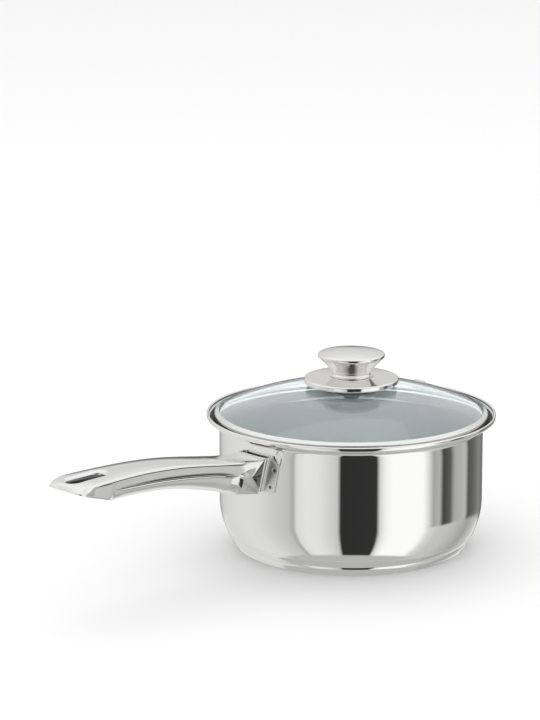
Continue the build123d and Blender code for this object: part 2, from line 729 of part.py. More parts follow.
# Knob stem: a hollow turned cone on a small foot ring, with a floor that holds the threaded bush
foot_z = plate_hub_z + bond_gap
floor_top = foot_z + stem_sheet
foot_step_z = foot_z + stem_foot_height
stem_waist_z = plate_hub_z + stem_waist_height
cap_joint_z = plate_hub_z + cap_joint_height
stem_inner_waist = (stem_waist_r - stem_sheet, stem_waist_z + stem_sheet)
stem_mouth_r = stem_top_r - stem_sheet * 1.4
stem_mid_r = (stem_waist_r + stem_top_r) / 2 + stem_hollow
stem_mid_z = (stem_waist_z + cap_joint_z) / 2 - stem_hollow
with BuildPart() as knob_stem:
    with BuildSketch(Plane.XZ):
        with BuildLine():
            Polyline(
                (plate_hole_r, foot_z),
                (stem_foot_r - stem_foot_chamfer, foot_z),
                (stem_foot_r, foot_z + stem_foot_chamfer),
                (stem_foot_r, foot_step_z - stem_foot_chamfer),
                (stem_foot_r - stem_foot_chamfer, foot_step_z),
                (stem_waist_r + stem_foot_chamfer, foot_step_z),
                (stem_waist_r, stem_waist_z),
            )
            ThreePointArc((stem_waist_r, stem_waist_z), (stem_mid_r, stem_mid_z), (stem_top_r, cap_joint_z))
            Line((stem_top_r, cap_joint_z), (stem_mouth_r, cap_joint_z))
            ThreePointArc(
                (stem_mouth_r, cap_joint_z),
                (stem_mid_r - stem_sheet * 1.4, stem_mid_z + stem_hollow),
                stem_inner_waist,
            )
            Polyline(
                stem_inner_waist,
                (stem_inner_waist[0], floor_top),
                (plate_hole_r, floor_top),
                (plate_hole_r, foot_z),
            )
        make_face()
    revolve(axis=Axis.Z)
save(knob_stem, "knob_stem")

# Threaded bush: a flanged steel nut that sits on the stem's floor and reaches down to the glass
bush_flange_r = bush_r + bush_flange_width
bush_flange_top = floor_top + bush_flange_height
bush_bore_r = screw_r + thread_clearance
bush_foot_z = upper_gasket_top + bush_foot_gap
with BuildPart() as threaded_bush:
    with BuildSketch(Plane.XZ):
        Polygon(
            (bush_bore_r, bush_foot_z),
            (bush_r, bush_foot_z),
            (bush_r, floor_top),
            (bush_flange_r, floor_top),
            (bush_flange_r, bush_flange_top),
            (bush_bore_r, bush_flange_top),
            align=None,
        )
    revolve(axis=Axis.Z)
save(threaded_bush, "threaded_bush")

# Knob cap: a spun steel crown with a rounded edge
crown_joint_z = cap_joint_z + bond_gap
cap_shoulder_z = plate_hub_z + cap_shoulder_height
cap_top_z = plate_hub_z + cap_top_height
cap_foot = (stem_top_r + cap_foot_step, crown_joint_z)
cap_widest = (cap_r, plate_hub_z + cap_widest_height)
crown_edge_r = cap_r - cap_shoulder_inset
crown_rise = cap_top_z - cap_shoulder_z
crown_sphere_r = (crown_edge_r**2 + crown_rise**2) / (2 * crown_rise)


def crown(r):
    """Height of the knob's top at a distance r from the axis."""
    return cap_top_z - crown_sphere_r + sqrt(crown_sphere_r**2 - r**2)


inner_edge_r = crown_edge_r - knob_sheet
cap_floor_z = crown_joint_z + knob_sheet
cap_mouth_r = stem_top_r - stem_sheet
with BuildPart() as knob_cap:
    with BuildSketch(Plane.XZ):
        with BuildLine():
            ThreePointArc(cap_foot, cap_widest, (crown_edge_r, cap_shoulder_z))
            dome_arc(crown, crown_edge_r, 0)
            Line((0, cap_top_z), (0, cap_top_z - knob_sheet))
            dome_arc(crown, 0, inner_edge_r, -knob_sheet)
            Polyline(
                (inner_edge_r, crown(inner_edge_r) - knob_sheet),
                (inner_edge_r, cap_floor_z),
                (cap_mouth_r, cap_floor_z),
                (cap_mouth_r, crown_joint_z),
                cap_foot,
            )
        make_face()
    revolve(axis=Axis.Z)
save(knob_cap, "knob_cap")

# Under washer: a pressed steel cup below the glass, stepped down in the middle for the screw
step_z = lower_gasket_bottom - under_washer_step
washer_hole_r = screw_r + washer_play
with BuildPart() as under_washer:
    with BuildSketch(Plane.XZ):
        Polygon(
            (under_washer_r, lower_gasket_bottom),
            (under_washer_step_r, lower_gasket_bottom),
            (under_washer_step_r - under_washer_sheet, step_z),
            (washer_hole_r, step_z),
            (washer_hole_r, step_z - under_washer_sheet),
            (under_washer_step_r, step_z - under_washer_sheet),
            (under_washer_step_r + under_washer_sheet, lower_gasket_bottom - under_washer_sheet),
            (under_washer_r, lower_gasket_bottom - under_washer_sheet),
            align=None,
        )
    revolve(axis=Axis.Z)
save(under_washer, "under_washer")

# Lock washer: a split spring washer under the screw's head
lock_top = step_z - under_washer_sheet
lock_bottom = lock_top - lock_washer_height
lock_washer_r = washer_hole_r + lock_washer_width
with BuildPart() as lock_washer:
    with BuildSketch(Plane.XY.offset(lock_bottom)):
        Circle(lock_washer_r)
        Circle(washer_hole_r, mode=Mode.SUBTRACT)
        with Locations((lock_washer_r, 0)):
            Rectangle(2 * lock_washer_r, lock_washer_gap, mode=Mode.SUBTRACT)
    extrude(amount=lock_washer_height)
save(lock_washer, "lock_washer")

# Knob screw: a pan-head screw, driven up from below into the bush
screw_head_r = screw_r + screw_head_width
head_bottom = lock_bottom - screw_head_height
screw_tip = bush_foot_z + screw_reach
with BuildPart() as knob_screw:
    with BuildSketch(Plane.XY.offset(head_bottom)):
        Circle(screw_head_r)
    extrude(amount=screw_head_height)
    fillet(knob_screw.edges().group_by(Axis.Z)[0], screw_head_round)
    with BuildSketch(Plane.XY.offset(lock_bottom)):
        Circle(screw_r)
    extrude(amount=screw_tip - lock_bottom)
    chamfer(knob_screw.edges().group_by(Axis.Z)[-1], screw_tip_chamfer)
    # a cross recess for the driver
    with BuildSketch(Plane.XY.offset(head_bottom)):
        Rectangle(screw_head_r, recess_width)
        Rectangle(recess_width, screw_head_r)
    extrude(amount=recess_depth, mode=Mode.SUBTRACT)
save(knob_screw, "knob_screw")
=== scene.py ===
import json
import math

import bmesh
import bpy
import numpy as np
from mathutils import Matrix, Vector


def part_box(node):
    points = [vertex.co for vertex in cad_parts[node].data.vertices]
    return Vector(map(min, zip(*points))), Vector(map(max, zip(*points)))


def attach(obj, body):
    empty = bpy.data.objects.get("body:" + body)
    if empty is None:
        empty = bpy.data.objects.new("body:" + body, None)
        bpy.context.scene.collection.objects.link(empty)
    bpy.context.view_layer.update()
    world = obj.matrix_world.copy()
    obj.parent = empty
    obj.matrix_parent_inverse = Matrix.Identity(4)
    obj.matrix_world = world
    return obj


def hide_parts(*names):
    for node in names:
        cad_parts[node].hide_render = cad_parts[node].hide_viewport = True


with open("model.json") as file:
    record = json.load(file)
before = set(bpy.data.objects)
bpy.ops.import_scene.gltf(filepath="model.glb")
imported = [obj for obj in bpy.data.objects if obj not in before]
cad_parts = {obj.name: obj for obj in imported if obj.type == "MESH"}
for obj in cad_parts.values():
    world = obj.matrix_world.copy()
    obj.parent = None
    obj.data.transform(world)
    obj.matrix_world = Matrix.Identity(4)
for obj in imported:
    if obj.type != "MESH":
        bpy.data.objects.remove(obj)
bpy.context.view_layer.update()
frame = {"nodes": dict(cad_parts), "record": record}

# ------------------------------
# Vessel. One sheet of stainless steel, drawn deep, mirror-polished outside and satin inside.
# Its wall turns out into a pouring rim whose lip is folded back on itself.
mm = 0.001
vessel_low, vessel_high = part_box("pan_body")
rim_r = vessel_high.x / mm
lip_top = vessel_high.z / mm
floor_under = vessel_low.z / mm
rim_flare = 7.7
vessel_sheet = 0.7
wall_r = rim_r - rim_flare
belly_r = 45.0
belly_top = 30.0
cap_joint = 10.3
turn_r = 3.5
upturn_r = 2.2
rim_tilt = 75.0
hem_width = 1.4
lip_height = 1.3
satin_top = 76.5          # height at which the inside's satin finish gives way to polish
drop_angle = math.degrees(math.asin((belly_top - cap_joint) / belly_r))
belly_centre = (wall_r - belly_r, belly_top)
corner_r = (cap_joint - floor_under) / (1 - math.sin(math.radians(drop_angle)))
joint_r = belly_centre[0] + belly_r * math.cos(math.radians(drop_angle))
corner_centre = (joint_r - corner_r * math.cos(math.radians(drop_angle)), floor_under + corner_r)
ledge_end = lip_top - lip_height - upturn_r * math.sin(math.radians(rim_tilt))


def arc(centre, r, start, stop, steps):
    """Points of an arc in a section, angles in degrees from the outward direction."""
    angles = np.radians(np.linspace(start, stop, steps + 1))
    return [(centre[0] + r * math.cos(a), centre[1] + r * math.sin(a)) for a in angles]


def straight(a, b, steps):
    """Points between two others, without its ends."""
    return [(a[0] + (b[0] - a[0]) * i / steps, a[1] + (b[1] - a[1]) * i / steps) for i in range(1, steps)]


# the ledge joins the turn and the upturn in one straight slope
slope = math.radians(rim_tilt)
upturn_centre_r = rim_r - upturn_r
ledge_run = upturn_centre_r + upturn_r * math.cos(slope) - (wall_r + turn_r - turn_r * math.cos(slope))
turn_height = turn_r * math.sin(slope) + ledge_run / math.tan(slope)
turn_centre = (wall_r + turn_r, ledge_end - turn_height)
upturn_centre = (upturn_centre_r, lip_top - lip_height)


def vessel_side(inset):
    """The vessel's line from the middle of the floor to the foot of the lip, moved in by an inset."""
    corner = arc(corner_centre, corner_r - inset, -90, -drop_angle, 14)
    belly = arc(belly_centre, belly_r - inset, -drop_angle, 0, 20)
    turn = arc(turn_centre, turn_r + inset, 180, 180 - rim_tilt, 10)
    upturn = arc(upturn_centre, upturn_r - inset, -rim_tilt, 0, 10)
    centre = (0.0, corner[0][1])
    floor = [centre, *straight(centre, corner[0], 12)]
    wall = straight(belly[-1], turn[0], 10)
    return [*floor, *corner, *belly[1:], *wall, *turn, *upturn]


def wired(tree, kind, settings=None, **sockets):
    """Add a node, set its properties, and link or set the inputs named with underscores for spaces."""
    node = tree.nodes.new(kind)
    for key, value in (settings or {}).items():
        setattr(node, key, value)
    for key, value in sockets.items():
        socket = node.inputs[int(key[1:])] if key[1:].isdigit() else node.inputs[key.replace("_", " ")]
        if isinstance(value, bpy.types.NodeSocket):
            tree.links.new(value, socket)
        else:
            socket.default_value = value
    return node


def figured(tree, operation, a, b=0.0, c=0.0):
    """A Math node's result."""
    return wired(tree, "ShaderNodeMath", {"operation": operation}, _0=a, _1=b, _2=c).outputs[0]


def spin_tree():
    """A node tree that spins a section, drawn in the XZ plane, into a closed piece."""
    tree = bpy.data.node_groups.new("Spun section", "GeometryNodeTree")
    sockets = {
        "Section": "Geometry",
        "Segments": "Int",
        "Sharp Angle": "Float",
        "Weld Distance": "Float",
        "Finish": "Material",
    }
    for name, kind in sockets.items():
        tree.interface.new_socket(name, in_out="INPUT", socket_type="NodeSocket" + kind)
    tree.interface.new_socket("Piece", in_out="OUTPUT", socket_type="NodeSocketGeometry")
    given = tree.nodes.new("NodeGroupInput").outputs
    section, segments = given["Section"], given["Segments"]
    points = wired(tree, "GeometryNodeAttributeDomainSize", Geometry=section).outputs["Point Count"]
    columns = figured(tree, "ADD", segments, 1.0)
    grid = wired(tree, "GeometryNodeMeshGrid", Vertices_X=columns, Vertices_Y=points).outputs["Mesh"]

    # a grid point's row picks its point of the section, and its column the turn about Z
    index = tree.nodes.new("GeometryNodeInputIndex").outputs[0]
    column = figured(tree, "FLOOR", figured(tree, "DIVIDE", index, points))
    row = figured(tree, "SUBTRACT", index, figured(tree, "MULTIPLY", column, points))
    where = tree.nodes.new("GeometryNodeInputPosition").outputs[0]
    vectors = {"data_type": "FLOAT_VECTOR"}
    picked = wired(tree, "GeometryNodeSampleIndex", vectors, Geometry=section, Value=where, Index=row)
    r, _, z = wired(tree, "ShaderNodeSeparateXYZ", _0=picked.outputs[0]).outputs
    angle = figured(tree, "MULTIPLY", figured(tree, "DIVIDE", column, segments), math.tau)
    x = figured(tree, "MULTIPLY", r, figured(tree, "COSINE", angle))
    y = figured(tree, "MULTIPLY", r, figured(tree, "SINE", angle))
    place = wired(tree, "ShaderNodeCombineXYZ", X=x, Y=y, Z=z).outputs[0]

    moved = wired(tree, "GeometryNodeSetPosition", Geometry=grid, Position=place).outputs[0]
    welded = wired(tree, "GeometryNodeMergeByDistance", Geometry=moved, Distance=given["Weld Distance"])
    smooth = wired(tree, "GeometryNodeSetShadeSmooth", Geometry=welded.outputs[0]).outputs[0]
    bend = tree.nodes.new("GeometryNodeInputMeshEdgeAngle").outputs["Unsigned Angle"]
    soft = figured(tree, "LESS_THAN", bend, given["Sharp Angle"])
    on_edges = {"domain": "EDGE"}
    sharp = wired(tree, "GeometryNodeSetShadeSmooth", on_edges, Geometry=smooth, Shade_Smooth=soft)
    real = wired(tree, "GeometryNodeRealizeInstances", _0=sharp.outputs[0]).outputs[0]
    finished = wired(tree, "GeometryNodeSetMaterial", Geometry=real, Material=given["Finish"]).outputs[0]
    tree.links.new(finished, tree.nodes.new("NodeGroupOutput").inputs["Piece"])
    return tree


def placed(name, data):
    """A new object in the scene."""
    piece = bpy.data.objects.new(name, data)
    bpy.context.scene.collection.objects.link(piece)
    return piece


def settled(piece):
    """A piece's final mesh; its modifiers are removed."""
    graph = bpy.context.evaluated_depsgraph_get()
    mesh = bpy.data.meshes.new_from_object(piece.evaluated_get(graph), depsgraph=graph)
    piece.modifiers.clear()
    return mesh


spin = spin_tree()
weld_distance = 0.003


def spun(name, section, finish, segments=192, sharp_angle=40.0, place=None):
    """Spin a section of (distance from the axis, height) points, in millimetres, into a piece.

    A section that keeps off the axis is closed from its last point to its first.
    """
    if section[0][0] > 0:
        section = [*section, section[0]]
    turn = sum(a[0] * b[1] - b[0] * a[1] for a, b in zip(section, section[1:] + section[:1]))
    if turn < 0:
        section = section[::-1]
    line = bpy.data.meshes.new(name + "_section")
    edges = [(i, i + 1) for i in range(len(section) - 1)]
    line.from_pydata([(r * mm, 0.0, z * mm) for r, z in section], edges, [])
    holder = placed(name + "_section", line)
    modifier = holder.modifiers.new("Spin", "NODES")
    modifier.node_group = spin
    sockets = {item.name: item.identifier for item in spin.interface.items_tree}
    modifier[sockets["Segments"]] = segments
    modifier[sockets["Sharp Angle"]] = math.radians(sharp_angle)
    modifier[sockets["Weld Distance"]] = weld_distance * mm
    modifier[sockets["Finish"]] = finish
    mesh = settled(holder)
    bpy.data.objects.remove(holder)
    bpy.data.meshes.remove(line)
    mesh.name = name
    mesh.materials.clear()
    mesh.materials.append(finish)
    mesh.polygons.foreach_set("material_index", [0] * len(mesh.polygons))
    if place is not None:
        mesh.transform(place)
    return placed(name, mesh)


def refinish(piece, finish, chosen):
    """Give a second finish to the faces chosen by their centre, in millimetres, and their normal."""
    piece.data.materials.append(finish)
    for face in piece.data.polygons:
        if chosen(face.center / mm, face.normal):
            face.material_index = len(piece.data.materials) - 1


def shading_group(name, inputs, outputs):
    """A shader node group of numbers; gives the tree, its input sockets and its output node's."""
    tree = bpy.data.node_groups.new(name, "ShaderNodeTree")
    for socket, value in inputs.items():
        made = tree.interface.new_socket(socket, in_out="INPUT", socket_type="NodeSocketFloat")
        made.default_value = value
    for socket in outputs:
        tree.interface.new_socket(socket, in_out="OUTPUT", socket_type="NodeSocketFloat")
    return tree, tree.nodes.new("NodeGroupInput").outputs, tree.nodes.new("NodeGroupOutput").inputs


def object_place(tree):
    """Each point's place, in metres, for a pattern that stays with the object."""
    return tree.nodes.new("ShaderNodeTexCoord").outputs["Object"]


def polish_group():
    """Polish marks: soft haze, faint wiping streaks and a slight waviness left by the wheel."""
    tree, given, result = shading_group(
        "Polish marks", {"Roughness": 0.05, "Haze": 0.05, "Waviness": 0.3}, ["Roughness", "Height"]
    )
    where = object_place(tree)
    haze = wired(tree, "ShaderNodeTexNoise", Vector=where, Scale=28.0, Detail=5.0, Roughness=0.6)
    streak_place = wired(tree, "ShaderNodeMapping", Vector=where, Scale=(60.0, 60.0, 900.0))
    streaks = wired(tree, "ShaderNodeTexNoise", Vector=streak_place.outputs[0], Scale=1.0, Detail=3.0)
    streaked = figured(tree, "MULTIPLY", streaks.outputs[0], 0.3)
    mixed = figured(tree, "MULTIPLY_ADD", haze.outputs[0], 0.7, streaked)
    clouded = figured(tree, "MULTIPLY", figured(tree, "SUBTRACT", mixed, 0.4), given["Haze"])
    rough = figured(tree, "MAXIMUM", figured(tree, "ADD", given["Roughness"], clouded), 0.01)
    wave_place = wired(tree, "ShaderNodeMapping", Vector=where, Scale=(26.0, 26.0, 9.0))
    waves = wired(tree, "ShaderNodeTexNoise", Vector=wave_place.outputs[0], Scale=1.0, Detail=1.0)
    tree.links.new(rough, result["Roughness"])
    tree.links.new(figured(tree, "MULTIPLY", waves.outputs[0], given["Waviness"]), result["Height"])
    return tree


def grain_group():
    """Spun grain: fine rings round the axis, from a satin wheel held against the turning piece."""
    tree, given, result = shading_group(
        "Spun grain", {"Ring Width": 0.5, "Contrast": 0.1, "Roughness": 0.3}, ["Shade", "Roughness", "Height"]
    )
    x, y, z = wired(tree, "ShaderNodeSeparateXYZ", Vector=object_place(tree)).outputs
    radius = figured(tree, "SQRT", figured(tree, "MULTIPLY_ADD", x, x, figured(tree, "MULTIPLY", y, y)))
    turned = figured(tree, "ARCTAN2", y, x)
    fineness = figured(tree, "DIVIDE", 1000.0, given["Ring Width"])
    across = figured(tree, "MULTIPLY_ADD", radius, fineness, figured(tree, "COSINE", turned))
    along = figured(tree, "MULTIPLY_ADD", z, fineness, figured(tree, "SINE", turned))
    ring = wired(tree, "ShaderNodeCombineXYZ", X=across, Y=along).outputs[0]
    rings = wired(tree, "ShaderNodeTexNoise", Vector=ring, Scale=1.0, Detail=4.0, Roughness=0.7).outputs[0]
    centred = figured(tree, "SUBTRACT", rings, 0.5)
    tree.links.new(figured(tree, "MULTIPLY_ADD", centred, given["Contrast"], 1.0), result["Shade"])
    tree.links.new(figured(tree, "MULTIPLY_ADD", centred, 0.25, given["Roughness"]), result["Roughness"])
    tree.links.new(rings, result["Height"])
    return tree


polish_marks, spun_grain = polish_group(), grain_group()


def blank_material(name):
    """A material with only a Principled shader; gives the material, its tree and the shader."""
    material = bpy.data.materials.new(name)
    material.use_nodes = True
    tree = material.node_tree
    shader = tree.nodes["Principled BSDF"]
    return material, tree, shader


def polished_steel(name, colour, roughness, haze=0.05, waviness=0.3, wave_depth=0.00002):
    """Mirror-polished stainless steel."""
    material, tree, shader = blank_material(name)
    group = {"node_tree": polish_marks}
    marks = wired(tree, "ShaderNodeGroup", group, Roughness=roughness, Haze=haze, Waviness=waviness)
    bump = wired(tree, "ShaderNodeBump", Height=marks.outputs["Height"], Distance=wave_depth, Strength=1.0)
    tree.links.new(marks.outputs["Roughness"], shader.inputs["Roughness"])
    tree.links.new(bump.outputs[0], shader.inputs["Normal"])
    shader.inputs["Base Color"].default_value = (*colour, 1.0)
    shader.inputs["Metallic"].default_value = 1.0
    return material


def satin_steel(name, colour, roughness, ring_width=0.5, contrast=0.12, grain_depth=0.000004, stretch=0.7):
    """Stainless steel with a spun satin grain round the vertical axis."""
    material, tree, shader = blank_material(name)
    group = {"node_tree": spun_grain}
    given = {"Ring_Width": ring_width, "Contrast": contrast, "Roughness": roughness}
    grain = wired(tree, "ShaderNodeGroup", group, **given)
    scaled = {"operation": "SCALE"}
    shade = wired(tree, "ShaderNodeVectorMath", scaled, _0=colour, Scale=grain.outputs["Shade"])
    bump = wired(tree, "ShaderNodeBump", Height=grain.outputs["Height"], Distance=grain_depth, Strength=1.0)
    tangent = tree.nodes.new("ShaderNodeTangent")
    tangent.direction_type = "RADIAL"
    tangent.axis = "Z"
    tree.links.new(shade.outputs[0], shader.inputs["Base Color"])
    tree.links.new(grain.outputs["Roughness"], shader.inputs["Roughness"])
    tree.links.new(bump.outputs[0], shader.inputs["Normal"])
    tree.links.new(tangent.outputs[0], shader.inputs["Tangent"])
    shader.inputs["Metallic"].default_value = 1.0
    shader.inputs["Anisotropic"].default_value = stretch
    return material


outer_polish = polished_steel("vessel polish", (0.86, 0.86, 0.855), 0.035)
inner_satin = satin_steel("vessel satin", (0.80, 0.81, 0.81), 0.46, 0.7, contrast=0.14, stretch=0.45)
# the ledge in the gap beside the lid's band is painted near-black: painted shade standing in for the deep
# gap's shadow
ledge_painted_shade = satin_steel("ledge painted shade", (0.05, 0.055, 0.05), 0.45, ring_width=0.4, contrast=0.2)
lip_centre = (rim_r - hem_width / 2, lip_top - hem_width / 2)
vessel_section = [*vessel_side(0), *arc(lip_centre, hem_width / 2, 0, 180, 12)]
vessel_section += [(rim_r - hem_width, upturn_centre[1]), *reversed(vessel_side(vessel_sheet))]
vessel = spun("vessel", vessel_section, outer_polish, segments=256)
ledge_level = 0.2         # the least upward part of a ledge face's normal
lip_inside = 1.0          # the lip's own inside, below its top
gap_width = 4.4           # the part of the ledge beside the lid's band, in its shade, which is painted on it as a near-black colour


def is_inside(centre, normal):
    """A face of the pan's inside, or of the ledge beyond the lid's band."""
    outward = Vector((centre.x, centre.y, 0))
    if centre.z < satin_top:
        return normal.z > normal.dot(outward.normalized())
    return on_ledge(centre, normal) and outward.length >= wall_r + gap_width


def on_ledge(centre, normal):
    """A face of the ledge that the lid rests on."""
    return normal.z > ledge_level and satin_top < centre.z < lip_top - lip_inside


def in_gap(centre, normal):
    """A face of the ledge in the gap beside the lid's band, where the gap's shade is painted on as a
    near-black colour.
    """
    return on_ledge(centre, normal) and math.hypot(centre.x, centre.y) < wall_r + gap_width


refinish(vessel, inner_satin, is_inside)
refinish(vessel, ledge_painted_shade, in_gap)
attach(vessel, "pan")
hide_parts("pan_body")

# ------------------------------
# Base. An aluminium plate spreads the heat, and a polished steel cap closes it in.
# The cap's side is two rounded bands with a groove between them; its underside is turned.
cap_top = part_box("base_cap")[1].z / mm
cap_sheet = 0.5
waist_z = 5.4
waist_r = joint_r - 3.2
foot_r = joint_r - 5.7
foot_round = 0.9
band_bulge = 0.35
stamp_depth = 0.25        # the underside is stamped in by this much, inside its rim
stamp_slope = 0.5
stamp_rings = [(62.0, 58.5), (30.0, 27.5)]


def bowed(a, b, bulge, steps):
    """Points from a to b along a line that bows outwards."""
    shares = [i / steps for i in range(steps + 1)]
    return [
        (a[0] + (b[0] - a[0]) * t + 4 * bulge * t * (1 - t), a[1] + (b[1] - a[1]) * t) for t in shares
    ]


turned_base = satin_steel("base underside", (0.70, 0.70, 0.70), 0.24, ring_width=1.4, contrast=0.16)
base_polish = polished_steel("base cap polish", (0.84, 0.84, 0.835), 0.05)
cap_top_r = joint_r + 0.08
underside = [(0.0, stamp_depth)]
for outer_ring, inner_ring in reversed(stamp_rings):
    underside += [(inner_ring, stamp_depth), (inner_ring + stamp_slope, 0.0)]
    underside += [(outer_ring, 0.0), (outer_ring + stamp_slope, stamp_depth)]
underside += [(foot_r - 4.0, stamp_depth), (foot_r - 3.5, 0.0)]
cap_section = [*underside, *arc((foot_r - foot_round, foot_round), foot_round, -90, -20, 6)]
cap_section += bowed((foot_r + 0.25, foot_round + 0.2), (waist_r, waist_z - 0.12), band_bulge, 12)
cap_section += bowed((waist_r, waist_z + 0.12), (cap_top_r, cap_top), band_bulge, 12)
cap_section += [(cap_top_r - 0.4, cap_top), (foot_r - cap_sheet, cap_sheet + 0.5), (0.0, cap_sheet + 0.2)]
base_cap = spun("base_shell", cap_section, base_polish, segments=256, sharp_angle=30)
refinish(base_cap, turned_base, lambda centre, normal: centre.z < stamp_depth + 0.05)
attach(base_cap, "pan")
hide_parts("base_cap")

rolled_aluminium, tree, shader = blank_material("rolled aluminium")
rolled = wired(tree, "ShaderNodeTexNoise", Vector=object_place(tree), Scale=900.0, Detail=3.0)
dulled = wired(tree, "ShaderNodeMapRange", Value=rolled.outputs[0], To_Min=0.3, To_Max=0.5)
tree.links.new(dulled.outputs[0], shader.inputs["Roughness"])
shader.inputs["Base Color"].default_value = (0.75, 0.75, 0.76, 1.0)
shader.inputs["Metallic"].default_value = 1.0
core = frame["nodes"]["base_core"]
core.data.materials.clear()
core.data.materials.append(rolled_aluminium)

# ------------------------------
# Handle bracket. A steel strap pressed into a hat shape: two flanges that hug the wall, each
# held by two spot welds, a neck that narrows downwards, and a face that carries the handle.
bracket_low, bracket_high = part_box("handle_bracket")
face_u = -bracket_low.x / mm
bracket_top = bracket_high.z / mm
bracket_foot = bracket_low.z / mm
bracket_sheet = 1.0
bond_gap = 0.05
neck_top, neck_foot = 11.7, 6.2
flange_top, flange_foot = 18.3, 14.7
flange_shoulder = bracket_top - 4.3
bend_r = 1.3
weld_spots = [(15.0, bracket_top - 7.1), (12.0, bracket_top - 17.7)]
weld_r, weld_depth, weld_scale_r = 1.2, 0.22, 0.95
web_gap, web_drop = 2.0, 0.12


def lattice(shape, rows):
    """Add a sheet of faces through rows of (x, y, z) points in millimetres."""
    grid = [[shape.verts.new((x * mm, y * mm, z * mm)) for x, y, z in row] for row in rows]
    for lower, upper in zip(grid, grid[1:]):
        for a, b, c, d in zip(lower, lower[1:], upper[1:], upper):
            shape.faces.new((a, b, c, d))


def meshed(name, shape):
    """A mesh of a finished shape."""
    mesh = bpy.data.meshes.new(name)
    shape.to_mesh(mesh)
    shape.free()
    return mesh


def skin(name, rows, finish, thickness, sharp_angle=50.0):
    """A pressed sheet from rows of (u, v, z) points in millimetres, mirrored about the handle's plane.

    u runs from the pan's axis towards the handle's end, v sideways and z up.
    """
    rows = np.asarray(rows, float)
    shape = bmesh.new()
    for side in (1, -1):
        lattice(shape, [[(-u, -v * side, z) for u, v, z in row] for row in rows])
    bmesh.ops.remove_doubles(shape, verts=shape.verts, dist=0.01 * mm)
    bmesh.ops.dissolve_degenerate(shape, dist=0.005 * mm, edges=shape.edges)
    bmesh.ops.recalc_face_normals(shape, faces=shape.faces)
    mesh = meshed(name, shape)
    mesh.shade_smooth()
    mesh.set_sharp_from_angle(angle=math.radians(sharp_angle))
    mesh.materials.append(finish)
    piece = placed(name, mesh)
    wall = piece.modifiers.new("Sheet", "SOLIDIFY")
    wall.thickness = thickness * mm
    wall.offset = -1.0
    return piece


def rounded_path(corners, radii, step):
    """Points along straight runs whose corners are rounded."""
    path = [np.array(corners[0], float)]
    for before, corner, after, r in zip(corners, corners[1:], corners[2:], radii):
        before, corner, after = (np.array(p, float) for p in (before, corner, after))
        back = (before - corner) / np.linalg.norm(before - corner)
        on = (after - corner) / np.linalg.norm(after - corner)
        half = math.acos(np.clip(np.dot(back, on), -1, 1)) / 2
        reach = r / math.tan(half)
        centre = corner + (back + on) / np.linalg.norm(back + on) * r / math.sin(half)
        start, stop = corner + back * reach, corner + on * reach
        for t in np.linspace(0, 1, step + 1):
            chord = start + (stop - start) * t - centre
            path.append(centre + chord / np.linalg.norm(chord) * r)
    path.append(np.array(corners[-1], float))
    return path


def spread(path, count):
    """Points spaced evenly along a path."""
    path = np.asarray(path, float)
    run = np.concatenate([[0], np.cumsum(np.linalg.norm(np.diff(path, axis=0), axis=1))])
    at = np.linspace(0, run[-1], count)
    return np.column_stack([np.interp(at, run, path[:, k]) for k in range(path.shape[1])])


strap_r = wall_r + bond_gap + bracket_sheet
bracket_rows = []
for z in np.linspace(bracket_foot, bracket_top, 85):
    neck = np.interp(z, [bracket_foot, bracket_top], [neck_foot, neck_top])
    flange_z = [bracket_foot, flange_shoulder, bracket_top]
    flange = max(np.interp(z, flange_z, [flange_foot, flange_top, neck_top]), neck + bend_r + 0.2)
    hug = [(math.sqrt(strap_r**2 - v * v), v) for v in np.linspace(flange, neck + bend_r + 0.1, 30)]
    root = (math.sqrt(strap_r**2 - neck**2), neck)
    folded = rounded_path([hug[-1], root, (face_u, neck), (face_u, 0.0)], [bend_r, bend_r], 9)
    plan = [*spread(hug, 30), *folded[1:-1], *spread([folded[-2], folded[-1]], 8)[1:]]
    row = []
    for u, v in plan:
        dent = sum(math.exp(-(((v - wv) ** 2 + (z - wz) ** 2) / weld_r**2) ** 1.5) for wv, wz in weld_spots)
        row.append((u - weld_depth * dent, v, z))
    bracket_rows.append(row)
pressed_steel = polished_steel("bracket satin", (0.86, 0.86, 0.85), 0.34, haze=0.08)
bracket = skin("bracket", bracket_rows, pressed_steel, 0.9)
weld_scale = polished_steel("weld scale", (0.13, 0.12, 0.115), 0.4, haze=0.3)


def in_weld(centre, normal):
    """A face inside one of the spot welds."""
    return min(math.hypot(abs(centre.y) - wv, centre.z - wz) for wv, wz in weld_spots) < weld_scale_r


refinish(bracket, weld_scale, in_weld)
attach(bracket, "pan")
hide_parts("handle_bracket")

# the web closes the neck at the top, clear of the wall
web_rows = []
for t in np.linspace(0, 1, 7):
    web_v = np.linspace(0, neck_top - 1.2, 14)
    web_back = np.sqrt((wall_r + web_gap) ** 2 - web_v**2)
    web_u = web_back + (face_u - 0.5 - web_back) * t
    web_rows.append(np.column_stack([web_u, web_v, np.full(web_v.shape, bracket_top - web_drop)]))
web = skin("bracket_web", web_rows, pressed_steel, 0.8)
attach(web, "pan")

# ------------------------------
# Handle, upper shell. Pressed steel sheet with a crowned top, a drawn-in hanging slot and sides
# that end in a crease. Near the pan a three-cornered flat on each side leads into the mouth.
tip_u = -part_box("handle_upper_shell")[0].x / mm
handle_sheet = 0.8
seam_gap = 0.08
